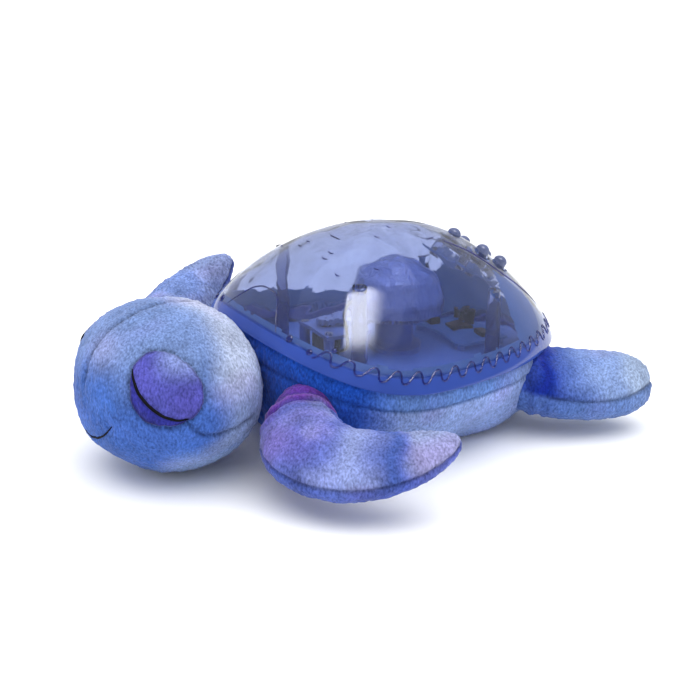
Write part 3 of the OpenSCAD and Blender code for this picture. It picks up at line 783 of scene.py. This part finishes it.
def cylinder(place, axis_matrix, radius, low, high):
    """Capped cylinder in a turned frame, as vertices and faces."""
    t = np.linspace(0, 2 * math.pi, 48, endpoint=False)
    around = np.stack([place[0] + radius * np.cos(t), place[1] + radius * np.sin(t)], axis=-1)
    return closed_tube(np.array([[axis_matrix @ Vector((x, y, z)) for x, y in around] for z in (low, high)]))


def join_shapes(shapes):
    """Vertices and faces of several shapes as one."""
    verts, faces, start = [], [], 0
    for v, f in shapes:
        verts.append(v)
        faces.extend(tuple(i + start for i in face) for face in f)
        start += len(v)
    return np.vstack(verts), faces


def boolean(obj, cutter, operation):
    modifier = obj.modifiers.new(operation.lower(), "BOOLEAN")
    modifier.object = cutter
    modifier.operation = operation
    modifier.solver = "MANIFOLD"
    apply_modifiers(obj)
    bpy.data.objects.remove(cutter)


def make_shell():
    """Clear dome with a rippled inner face, button holes, bosses and screw posts. Its skirt is tinted deeper.
    Faces low down inside, at the rear and on the bosses and posts take the painted interior shade, which glows a
    little as painted bounced light."""
    count, rows = 340, 64
    outer = shell_rings(count, rows, 0.0, False)
    inner = shell_rings(count, rows, SHELL_WALL, True)
    lip = (outer[0] + inner[0]) / 2 - np.array([0, 0, 0.5])
    shell = new_mesh("shell_dome_clear", *closed_tube(np.concatenate([outer[::-1], lip[None], inner])))
    lean = Matrix.Translation(BUTTON_PLACE) @ Matrix.Rotation(BUTTON_LEAN, 4, "X")
    upright = Matrix.Identity(4)
    sunk = SHELL_WALL / 2
    solids = [cylinder(p, upright, POST_R, POST_FOOT_Z, dome_height(p) - sunk) for p in POSTS]
    solids += [cylinder(p, lean, BOSS_R, BOSS_FLOOR, plane_drop(p, lean) - sunk) for p in BUTTON_SPOTS]
    solids += [cylinder(p, lean, BOARD_POST_R, BOARD_TOP, plane_drop(p, lean) - sunk) for p in BOARD_POSTS]
    boolean(shell, new_mesh("bosses", *join_shapes(solids)), "UNION")
    holes = [cylinder(p, lean, BUTTON_HOLE_R, BOSS_FLOOR - 1, 6) for p in BUTTON_SPOTS]
    boolean(shell, new_mesh("holes", *join_shapes(holes)), "DIFFERENCE")
    shell.data.polygons.foreach_set("use_smooth", [True] * len(shell.data.polygons))
    shell.data.set_sharp_from_angle(angle=math.radians(32))
    p = points_of(shell)
    height = p[:, 2] - rim_at(p[:, 1])
    rough = noise(p, 4.0, 53)
    inside = ((p - np.array([0, -20, EDGE_Z])) * normals_of(shell)).sum(1) < 0
    rear = soft_step(INNER_SHADE_Y - 2, INNER_SHADE_Y + 2, p[:, 1] + 1.5 * rough)
    rear *= soft_step(INNER_SHADE_X, INNER_SHADE_X + 1, np.abs(p[:, 0]))
    low = 1 - soft_step(INNER_SHADE_H - 1, INNER_SHADE_H + 1, height + 1.2 * rough)
    # Faces that take the painted interior shade and glow
    shaded_inside = np.maximum(np.maximum(rear, low) * inside, dome_depth(p) > INNER_SHADE_DEPTH)
    uneven = height + 0.4 * rough
    tint = layered(len(p), SHELL_TINT, [(SKIRT_TINT, 1 - soft_step(SKIRT_H, SKIRT_H + 1, uneven))])
    set_tint(shell, tint, mix(SKIRT_HAZE, SHELL_HAZE, soft_step(SKIRT_H - 0.8, SKIRT_H, uneven)))
    finish_piece(shell, SHELL, ["shell_dome"], "body")
    shell.data.materials.append(INNER_SHADE_GLOW)
    for face in shell.data.polygons:
        face.material_index = int(shaded_inside[list(face.vertices)].min() > 0.5)
    return shell


def dome_depth(points):
    """Depth of points under the shell's outer face, measured straight up."""
    t = even_angles(360)
    r = np.sin(np.linspace(0.01, math.pi / 2, 160))
    top = np.concatenate([dome_point(t, q) for q in r])
    tree = KDTree(len(top))
    for i, q in enumerate(top):
        tree.insert((q[0], q[1], 0), i)
    tree.balance()
    return np.array([top[tree.find((q[0], q[1], 0))[1]][2] for q in points]) - points[:, 2]


def dome_height(place):
    """Height of the shell's outer face over a place, taken from the nearest of many points on it."""
    x, y = place
    t = np.linspace(0, 2 * math.pi, 2881)
    edge_x, edge_y = oval(t, PLAN_W)
    best = None
    for r in np.linspace(0.02, 1, 400):
        gap = np.hypot(r * edge_x - x, mix(APEX_Y, edge_y, r) - y)
        i = int(np.argmin(gap))
        if best is None or gap[i] < best[0]:
            best = (gap[i], float(dome_point(t[i:i + 1], r)[0, 2]))
    return best[1]


def plane_drop(spot, lean):
    """Height of the shell's outer face over a spot of the button plane, along the plane's normal."""
    z = 0.0
    for _ in range(6):
        here = lean @ Vector((spot[0], spot[1], z))
        z += (dome_height((here.x, here.y)) - here.z) * math.cos(BUTTON_LEAN)
    return z


def tube(points, radii, sides=10):
    """Round bar along points with a radius at each."""
    points = np.asarray(points, float)
    ahead = np.gradient(points, axis=0)
    ahead /= np.linalg.norm(ahead, axis=1)[:, None]
    side = np.cross(ahead, [0.31, 0.22, 0.92])
    side /= np.linalg.norm(side, axis=1)[:, None]
    up = np.cross(ahead, side)
    t = np.linspace(0, 2 * math.pi, sides, endpoint=False)
    rings = points[:, None, :] + np.asarray(radii)[:, None, None] * (
        np.cos(t)[None, :, None] * side[:, None, :] + np.sin(t)[None, :, None] * up[:, None, :])
    return closed_tube(rings)


def make_wave():
    """Running-wave line raised on the sides and rear of the shell, just above its skirt."""
    t, run = outline_run(-math.pi / 2, 8001)
    start, end = np.interp([WAVE_START, WAVE_END], t, run)
    waves = round((end - start) / WAVE_PERIOD)
    steps = 30
    heading = WAVE_SWING * np.sin(2 * math.pi * (np.arange(steps) + 0.5) / steps)
    ahead, rise = np.cumsum(np.cos(heading)), np.cumsum(np.sin(heading))
    period = (end - start) / waves
    rise = (rise - rise.mean()) * period / ahead[-1]
    ahead = ahead * period / ahead[-1] + WAVE_LEAN * rise
    along = start + (np.arange(waves)[:, None] * period + ahead).ravel()
    angle = np.interp(along, run, t)
    path = dome_point(angle, share_at_height(WAVE_MIDDLE + np.tile(rise, waves)), LINE_SINK)
    wave = new_mesh("shell_wave_line", *tube(path, np.full(len(path), WAVE_R), 8))
    finish_piece(wave, LINE, body="body")


def shell_bar(spots, radius):
    """Raised line on the shell through spots of (angle in degrees, share of the reach)."""
    route = curve_through(spots, 12 * len(spots))
    path = dome_point(np.radians(route[:, 0]), route[:, 1], LINE_SINK)
    ends = np.sin(np.linspace(0, math.pi, len(path))) ** 0.25
    return tube(path, radius * np.maximum(ends, 0.15))


def across(angle):
    """Angle on the shell's other side, in degrees."""
    return 540 - angle


def make_shell_lines():
    """Neck arch, short strokes, bubbles and rear ribs on the shell."""
    shapes = [shell_bar(ARCH + [(across(t), r) for t, r in ARCH[-2::-1]], ARCH_R)]
    for t, r in STROKES:
        for angle in (t, across(t)):
            spots = [(angle - 1.6 / r, r), (angle, r * 1.01), (angle + 1.6 / r, r)]
            shapes.append(shell_bar(spots, STROKE_R))
    for t, r, size in BUBBLES:
        for angle in (t, across(t)):
            shapes.append(bubble(math.radians(angle), r, size))
    lines = new_mesh("shell_raised_lines", *join_shapes(shapes))
    finish_piece(lines, LINE, body="body")
    ribs = [shell_bar(spots, RIB_R) for spots in (RIB, [(across(t), r) for t, r in RIB])]
    rib = new_mesh("shell_rear_ribs", *join_shapes(ribs))
    finish_piece(rib, CREASE, body="body")


def bubble(t, r, size):
    """Low round bubble on the shell."""
    middle = dome_point(np.array([t]), r, 0.2)[0]
    a = dome_point(np.array([t + 0.01]), r, 0.2)[0] - middle
    b = dome_point(np.array([t]), r - 0.01, 0.2)[0] - middle
    a /= np.linalg.norm(a)
    b -= a * (a @ b)
    b /= np.linalg.norm(b)
    out = np.cross(a, b)
    if out @ (middle - np.array([0, -20, 40])) < 0:
        out = -out
    turn = np.linspace(0, 2 * math.pi, 20, endpoint=False)
    rings = []
    for lat in np.radians([-60, -30, 0, 20, 40, 58, 74, 84]):
        ring = middle + size * (math.cos(lat) * (np.cos(turn)[:, None] * a + np.sin(turn)[:, None] * b)
                                + 0.6 * math.sin(lat) * out)
        rings.append(ring)
    return closed_tube(np.array(rings))


# Head

def head_angles(points):
    """Longitude from the snout and latitude of points, in degrees."""
    way = (points - HEAD_PLACE) / HEAD_REACH
    way /= np.linalg.norm(way, axis=1)[:, None]
    return np.degrees(np.arctan2(way[:, 0], -way[:, 1])), np.degrees(np.arcsin(np.clip(way[:, 2], -1, 1)))


def lid_lower(t):
    """Stretch of an eyelid's height at the angle t round it: its lower half hangs further."""
    return np.where(np.sin(t) < 0, 1.2 - 0.25 * np.cos(t), 1)


def lid_share(a, b):
    """0 at the middle of the nearer eyelid and 1 on its edge."""
    da, db = np.abs(a) - LID_MIDDLE[0], b - LID_MIDDLE[1]
    db = db + LID_TILT * da
    t = np.arctan2(db / LID_REACH[1], da / LID_REACH[0])
    return np.hypot(da / LID_REACH[0], db / (LID_REACH[1] * lid_lower(t)))


def mirrored(line):
    return [(-a, b) for a, b in line]


def lash_height(a):
    """Latitude of the lash line at a longitude on either side."""
    line = curve_through(LASH, 40)
    return np.interp(np.abs(a), line[:, 0], line[:, 1], left=60.0, right=0.0)


def head_swell(a, b):
    """Departure of the head from an even round: fuller chin and brow, flatter bridge and lower cheek."""
    chin = 1.5 * hump(a, 0, 32) * hump(b, -30, 14)
    bridge = -1.1 * hump(a, 0, 36) * hump(b, 2, 15)
    brow = 1.2 * hump(a, 0, 60) * hump(b, 48, 18)
    cheek = -1.7 * hump(np.abs(a), 95, 34) * hump(b, -42, 17)
    return chin + bridge + brow + cheek


def make_head(body, shell):
    """Stuffed head: a swollen round skin, pressed flat where it meets the body."""
    bm = bmesh.new()
    bmesh.ops.create_icosphere(bm, subdivisions=4, radius=1)
    unit = np.array([v.co for v in bm.verts])
    faces = [tuple(v.index for v in f.verts) for f in bm.faces]
    bm.free()
    coarse = HEAD_PLACE + unit * (HEAD_REACH - HEAD_SLACK)
    head = new_mesh("head_skin", swell(coarse, faces, coarse[:, 1] > NECK_Y, HEAD_SWELL_CAP), faces)
    subdivide = head.modifiers.new("smooth", "SUBSURF")
    subdivide.levels = subdivide.render_levels = 2
    apply_modifiers(head)
    p, out = points_of(head), normals_of(head)
    a, b = head_angles(p)
    face = head_point(a, b)
    lid = lid_share(np.where(a < 0, a + RIGHT_LID_SHIFT, a), b)
    seams = hump(np.abs(p[:, 0]), 0, 1.2) * soft_step(2, 14, b) * (p[:, 1] < HEAD_PLACE[1] + 42)
    for line in (CHEEK_SEAM, mirrored(CHEEK_SEAM)):
        route = head_point(*curve_through(line, 24).T)
        seams = np.maximum(seams, hump(line_distance(face, route), 0, 1.2))
    smile = head_point(*curve_through(SMILE, 40).T)
    dimple = hump(line_distance(face, smile), 0, 1.5)
    crease = hump(lid, 1.04, 0.05)
    parted = partings(p, 23) * soft_step(0, 30, b) * (lid > 1.1)
    lift = pile(p) + head_swell(a, b) - 1.5 * seams - 0.9 * crease - 0.7 * parted - 0.9 * dimple
    moved = raised(p, out, lift, FLOOR_GAP)
    press_head(moved, (body, shell))
    move_points(head, moved)
    rear = p[:, 1] - HEAD_PLACE[1] + 9 * noise(p, 21, 29)
    # The last argument darkens the dye in the seams, the crease round each eyelid and the pile's partings: painted
    # shade in their grooves
    dye_skin(head, p, srgb(68, 108, 192), [
        (srgb(120, 146, 202), soft_step(2, 44, b + 9 * noise(p, 17, 33))),
        (srgb(142, 162, 208), soft_step(-6, 16, rear) * soft_step(-50, -20, b)),
        (srgb(192, 202, 228), soft_step(-6, 18, rear) * soft_step(0, 32, b) * 0.85),
        (srgb(144, 170, 218), (1 - soft_step(-46, -20, b)) * soft_step(-30, 0, rear) * 0.9),
        # Painted highlight: a lilac patch high on the brow
        (srgb(156, 166, 218), hump(a, 8, 16) * hump(b, 36, 12) * 0.8),
    ], 131, 1 - 0.6 * np.maximum(seams, crease) - 0.2 * parted)
    finish_piece(head, PLUSH, ["head"], "body")
    return head


def press_head(points, others):
    """Moves the rear of the head forward until it is clear of the body and the shell."""
    trees = [bvh_of(o) for o in others]
    for i in np.flatnonzero(points[:, 1] > PRESS_Y):
        x, _, z = points[i]
        for tree in trees:
            hit, _, _, _ = tree.ray_cast(Vector((x, -220, z)) * MM, Vector((0, 1, 0)))
            if hit is not None:
                points[i, 1] = min(points[i, 1], hit.y / MM - PRESS_GAP)


def on_skin(trees, a, b, lift):
    """Point over the finished head at the angles a and b, above the highest skin there."""
    way = head_point(a, b) - HEAD_PLACE
    way /= np.linalg.norm(way)
    far = HEAD_PLACE + way * 120
    best = 0.0
    for tree in trees:
        hit, _, _, _ = tree.ray_cast(Vector(far) * MM, Vector(-way))
        if hit is not None:
            best = max(best, float(np.dot(np.array(hit) / MM - HEAD_PLACE, way)))
    return HEAD_PLACE + way * (best + lift)


def stitch(name, line, trees, radius, count, lift, start, power):
    """Thread on the skins along a line of head angles, thinner towards its ends."""
    path = np.array([on_skin(trees, a, b, lift) for a, b in curve_through(line, count)])
    for _ in range(3):
        path[1:-1] = (path[:-2] + 2 * path[1:-1] + path[2:]) / 4
    swing = np.sin(np.linspace(start, math.pi - start, count))
    thread = new_mesh(name, *tube(path, radius * swing ** power))
    finish_piece(thread, THREAD, body="body")


def make_lids(head):
    """Closed eyelids: violet patches sewn on the cheeks, each with a lash line, and the smile."""
    tree = bvh_of(head)
    turn = np.linspace(0, 2 * math.pi, 110, endpoint=False)
    rim_a = LID_REACH[0] * signed_power(np.cos(turn), 0.85)
    rim_b = LID_REACH[1] * signed_power(np.sin(turn), 0.9) * lid_lower(turn)
    rim_b -= LID_TILT * LID_REACH[0] * np.cos(turn)
    crown = [(share, 0.25 + 0.7 * (1 - share ** 5)) for share in np.linspace(0.03, 1, 30)]
    for side, word in SIDES:
        shift = RIGHT_LID_SHIFT if side < 0 else 0
        rings = []
        for share, lift in crown + [(1.0, -0.6), (0.5, -1.6), (0.05, -1.6)]:
            around = side * (LID_MIDDLE[0] + shift + share * rim_a)
            up = LID_MIDDLE[1] + share * rim_b
            rings.append([on_skin([tree], a, b, lift) for a, b in zip(around, up)])
        lid = new_mesh(f"eyelid_skin_{word}", *closed_tube(np.array(rings)))
        p, out = points_of(lid), normals_of(lid)
        move_points(lid, p + out * (0.4 * pile(p))[:, None])
        a, b = head_angles(p)
        a = a - side * shift
        below = soft_step(1.5, -0.5, b - lash_height(a))
        # The last argument darkens the dye towards the eyelid's edge: painted shade where the patch meets the
        # cheek
        dye_skin(lid, p, srgb(84, 87, 180), [
            (srgb(140, 156, 218), soft_step(20, 40, b) * soft_step(46, 68, np.abs(a))),
            (srgb(48, 52, 152), below * 0.95),
        ], 151, 1 - 0.5 * soft_step(0.93, 1.0, lid_share(a, b)))
        finish_piece(lid, PLUSH, [f"eyelid_{word}"], "body")
        lash = [(side * (a + shift), b) for a, b in LASH]
        trees = [tree, bvh_of(lid)]
        stitch(f"lash_line_{word}", lash, trees, LASH_R, count=60, lift=0.3, start=0.12, power=0.6)
    stitch("smile_line", SMILE, [tree], SMILE_R, count=70, lift=0.1, start=0.15, power=0.4)


# Limbs

def turn_about(points, place, axis, angle):
    turn = np.array(Matrix.Rotation(math.radians(angle), 3, Vector(axis)))
    return (points - place) @ turn.T + place


def limb_skin(name, form, bank, rows, sides, flip, lift):
    """Skin of a stuffed limb, with the share s along it, the angle t round it and its girth at each point."""
    coarse, _, _ = limb_grid(*form, bank, SWELL_ROWS, SWELL_SIDES)
    verts, faces = closed_tube(coarse)
    held = np.zeros(len(verts), bool)
    held[:HELD_ROWS * SWELL_SIDES] = True
    held[-2] = True
    moved = swell(verts, faces, held, LIMB_SWELL_CAP) - verts
    fine, s, t = limb_grid(*form, bank, rows, sides)
    fine = fine + refine_rows(moved[:-2].reshape(coarse.shape), rows, sides)
    verts, faces = closed_tube(fine)
    if lift:
        verts = turn_about(verts, SHOULDER, SHOULDER_DIR, lift)
    if flip:
        verts = verts * np.array([-1, 1, 1])
    obj = new_mesh(name, verts, faces)
    s = np.concatenate([np.repeat(s, sides), [0, LIMB_END]])
    t = np.concatenate([np.tile(t, rows), [0, 0]])
    girth = np.linalg.norm(fine - fine.mean(1, keepdims=True), axis=2).mean(1)
    girth = np.concatenate([np.repeat(girth, sides), [0, 0]])
    return obj, s, t, girth


def edge_distance(t, girth, turn):
    """Distance round a limb from the nearer edge seam, which lies turned about the limb."""
    first = np.abs(np.sin((t + turn) / 2))
    second = np.abs(np.sin((t - math.pi - turn) / 2))
    return np.minimum(first, second) * 2 * girth


def underside(t, turn):
    """1 below a limb's edge seams and 0 above them."""
    turned = np.where(t > math.pi + turn, t - 2 * math.pi, t)
    return soft_step(-turn - 0.12, -turn + 0.12, turned)


def finish_limb(obj, end, word):
    """Looks and slot of a limb, with its placing baked into its points."""
    finish_piece(obj, PLUSH, [f"{end}_flipper_{word}"])
    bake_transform(obj)


def make_flipper(side, word):
    """Front flipper: gathered violet shoulder with painted shade in its folds and painted highlights on them,
    mottled blade and a seam round its edge.
    """
    bank, lift = (RIGHT_BANK, RIGHT_LIFT) if side < 0 else (FLIPPER_BANK, 0)
    obj, s, t, girth = limb_skin(f"front_flipper_skin_{word}", FLIPPER_FORM, bank, rows=170, sides=110,
                                 flip=side < 0, lift=lift)
    p, out = points_of(obj), normals_of(obj)
    seam = hump(edge_distance(t, girth, SEAM_TURN), 0, SEAM_W) * soft_step(0.14, 0.3, s)
    fold = np.sin(s * 105 + 2.4 * noise(p, 16, 71)) * hump(s, 0.15, 0.07)
    height = pile(p) - 1.2 * seam + 1.1 * fold * (1 + 0.5 * noise(p, 9, 73))
    move_points(obj, raised(p, out, height, FLOOR_GAP))
    drift = s + 0.05 * noise(p, 17, 75)
    cloud = soft_step(0.05, 0.6, noise(p, 13, 77) + 0.25 * noise(p, 5, 78))
    root = 1 - soft_step(0.13, 0.24, s + 0.05 * noise(p, 11, 79))
    if side > 0:
        base = srgb(98, 112, 194)
        blade = [
            (srgb(138, 130, 204), hump(drift, 0.3, 0.07) * 0.5),
            (srgb(150, 164, 216), hump(drift, 0.65, 0.09) * 0.85),
            (srgb(150, 162, 216), cloud * 0.5),
            (srgb(72, 100, 184), hump(drift, 0.79, 0.05) * 0.9),
            (srgb(146, 158, 200), soft_step(0.83, 0.9, drift) * 0.95),
        ]
    else:
        base = srgb(120, 144, 206)
        blade = [
            (srgb(152, 168, 212), cloud * 0.6),
            (srgb(140, 156, 204), soft_step(0.8, 0.92, drift) * 0.9),
        ]
    # The last but one argument darkens the dye along the edge seam: painted shade in its groove
    dye_skin(obj, p, base, blade + [
        (srgb(76, 98, 184), underside(t, SEAM_TURN) * 0.85),
        (srgb(104, 50, 164), root * 0.95),
        # Painted shade in the troughs of the shoulder folds and painted highlights on their crests
        (srgb(58, 40, 140), np.clip(-fold, 0, 1) * 0.7),
        (srgb(156, 100, 198), np.clip(fold - 0.4, 0, 1) * 0.8),
    ], 171, 0.92 - 0.45 * seam, 1.5)
    finish_limb(obj, "front", word)


def make_foot(side, word):
    """Rear flipper: deep blue root, paler end and a seam round its edge."""
    obj, s, t, girth = limb_skin(f"rear_flipper_skin_{word}", FOOT_FORM, FOOT_BANK, rows=120, sides=120,
                                 flip=side < 0, lift=0)
    p, out = points_of(obj), normals_of(obj)
    seam = hump(edge_distance(t, girth, FOOT_SEAM_TURN), 0, SEAM_W) * soft_step(0.2, 0.35, s)
    fold = np.sin(s * 70 + 2.2 * noise(p, 14, 83)) * hump(s, 0.22, 0.1)
    move_points(obj, raised(p, out, pile(p) - 1.2 * seam + 0.9 * fold, FLOOR_GAP))
    under = underside(t, FOOT_SEAM_TURN)
    drift = s + 0.08 * noise(p, 13, 89)
    # The last argument darkens the dye along the edge seam: painted shade in its groove
    dye_skin(obj, p, srgb(132, 156, 207), [
        (srgb(160, 179, 212), soft_step(0.72, 0.92, drift)),
        (srgb(64, 98, 184), (1 - soft_step(0.4, 0.66, drift)) * 0.7),
        (srgb(92, 124, 190), under * 0.8),
        (srgb(0, 40, 150), hump(drift, 0.22, 0.17) * (1 - 0.7 * under)),
    ], 191, 1 - 0.5 * seam)
    finish_limb(obj, "rear", word)


# Stage

def make_floor():
    """Pale paper floor, just under the toy."""
    material, nodes = new_material("floor_paper")
    tint = nodes.tint((0.93, 0.93, 0.935), nodes.noise(40, 3.0), 0.995, 1.005)
    nodes.give({"Base Color": tint, "Roughness": 0.9, "Specular IOR Level": 0.1})
    reach, drop = 8.0, -0.0004
    corners = [(x * reach, y * reach, drop) for x, y in ((-1, -1), (1, -1), (1, 1), (-1, 1))]
    mesh = bpy.data.meshes.new("floor")
    mesh.from_pydata(corners, [], [(0, 1, 2, 3)])
    mesh.materials.append(material)
    add_object("floor", mesh)


def fade_light(data, edges):
    """Dims a softbox towards its edges; edges holds the share that fades at each end, across and along."""
    nodes = Nodes(data, "Emission")
    place = nodes.add("ShaderNodeNewGeometry", {}, "Parametric")
    strength = 1.0
    for axis, (low, high) in zip("XY", edges):
        along = nodes.add("ShaderNodeSeparateXYZ", {"Vector": place}, axis)
        for end, full in ((0.0, low), (1.0, 1.0 - high)):
            share = nodes.span(along, end, full, curve="SMOOTHSTEP")
            strength = nodes.add("ShaderNodeMath", {0: share, 1: strength}, "Value", "MULTIPLY")
    nodes.give({"Strength": strength})


def add_area(name, place, width, depth, power, turn=0.0, diffuse=True, glossy=True, edges=None):
    """Softbox that faces straight down, turned about its own axis."""
    data = bpy.data.lights.new(name, "AREA")
    data.shape = "RECTANGLE"
    data.size, data.size_y = width, depth
    data.energy = power
    light = add_object(name, data)
    facing = Vector((0, 0, -1)).to_track_quat("-Z", "Y").to_matrix().to_4x4()
    light.matrix_world = Matrix.Translation(place) @ facing @ Matrix.Rotation(turn, 4, "Z")
    light.visible_diffuse = diffuse
    light.visible_glossy = glossy
    if edges:
        fade_light(data, edges)


# Lights, in metres and watts: the surround, its two strengths when mirrored, on the camera's side and behind
# the turtle, the way from the camera to the backdrop, and the softboxes
WORLD_LIGHT = 1.0
WORLD_MIRRORED = (0.32, 0.95)
BACKDROP_WAY = (-0.86, 0.51, 0.0)
OVERHEAD_PLACE = (0, 0, 2.4)
OVERHEAD_SIZE = 4.2
OVERHEAD_POWER = 85
PATCH_PLACE = (0.47, 0.075, 1.1)
PATCH_SIZE = (0.78, 0.85)
PATCH_POWER = 29
PATCH_TURN = math.radians(-24)
PATCH_EDGES = ((0.1, 0.4), (0.08, 0.55))


def make_lights():
    """White surround, dimmer where it is mirrored, a wide overhead and the box that the shell mirrors."""
    world = bpy.data.worlds.new("studio")
    nodes = Nodes(world, "Background")
    nodes.give({"Color": (0.97, 0.985, 1.0, 1.0), "Strength": WORLD_LIGHT})
    way = nodes.add("ShaderNodeTexCoord", {}, "Generated")
    facing = nodes.add("ShaderNodeVectorMath", {0: way, 1: BACKDROP_WAY}, "Value", "DOT_PRODUCT")
    strength = nodes.span(facing, 0.3, 0.9, *WORLD_MIRRORED, curve="SMOOTHSTEP")
    dim = nodes.add("ShaderNodeBackground", {"Strength": strength}, "Background")
    glossy = nodes.add("ShaderNodeLightPath", {}, "Is Glossy Ray")
    bright = nodes.main.outputs["Background"]
    either = nodes.add("ShaderNodeMixShader", {"Fac": glossy, 1: bright, 2: dim}, "Shader")
    nodes.fill(nodes.tree.nodes["World Output"], {"Surface": either})
    bpy.context.scene.world = world
    add_area("overhead", OVERHEAD_PLACE, OVERHEAD_SIZE, OVERHEAD_SIZE, OVERHEAD_POWER, glossy=False)
    add_area("patch", PATCH_PLACE, *PATCH_SIZE, PATCH_POWER, PATCH_TURN, diffuse=False, edges=PATCH_EDGES)


# Camera of the photograph
VIEW_AZIMUTH = math.radians(59.5)
VIEW_ELEVATION = math.radians(19.0)
VIEW_ROLL = math.radians(1.5)
VIEW_TARGET = Vector((22.7, -54.5, 58.0)) * MM
VIEW_DISTANCE = 1.1
FOCUS_PX = 1970.6
IMAGE_PX = 700
SENSOR_MM = 36


def make_camera():
    a, e, w = VIEW_AZIMUTH, VIEW_ELEVATION, VIEW_ROLL
    back = Vector((math.sin(a) * math.cos(e), -math.cos(a) * math.cos(e), math.sin(e)))
    right = Vector((math.cos(a), math.sin(a), 0))
    up = back.cross(right)
    right, up = right * math.cos(w) + up * math.sin(w), up * math.cos(w) - right * math.sin(w)
    data = bpy.data.cameras.new("camera")
    data.sensor_width = SENSOR_MM
    data.lens = SENSOR_MM * FOCUS_PX / IMAGE_PX
    data.clip_start, data.clip_end = 0.01, 50
    camera = add_object("camera", data)
    turn = Matrix((right, up, back)).transposed()
    camera.matrix_world = Matrix.Translation(VIEW_TARGET + back * VIEW_DISTANCE) @ turn.to_4x4()
    bpy.context.scene.camera = camera


def dress_frame():
    """Procedural materials on every moulded part that stays as the frame has it."""
    for name, node in frame["nodes"].items():
        finish = NODE_FINISH.get(name) or FINISH.get(SLOT_OF[name])
        if finish:
            node.data.materials.clear()
            node.data.materials.append(finish)


bpy.context.scene.view_settings.view_transform = "Standard"
make_camera()
make_lights()
make_floor()
dress_frame()
plush_body = make_body()
shell_dome = make_shell()
make_wave()
make_shell_lines()
plush_head = make_head(plush_body, shell_dome)
make_lids(plush_head)
for side, word in SIDES:
    make_flipper(side, word)
    make_foot(side, word)
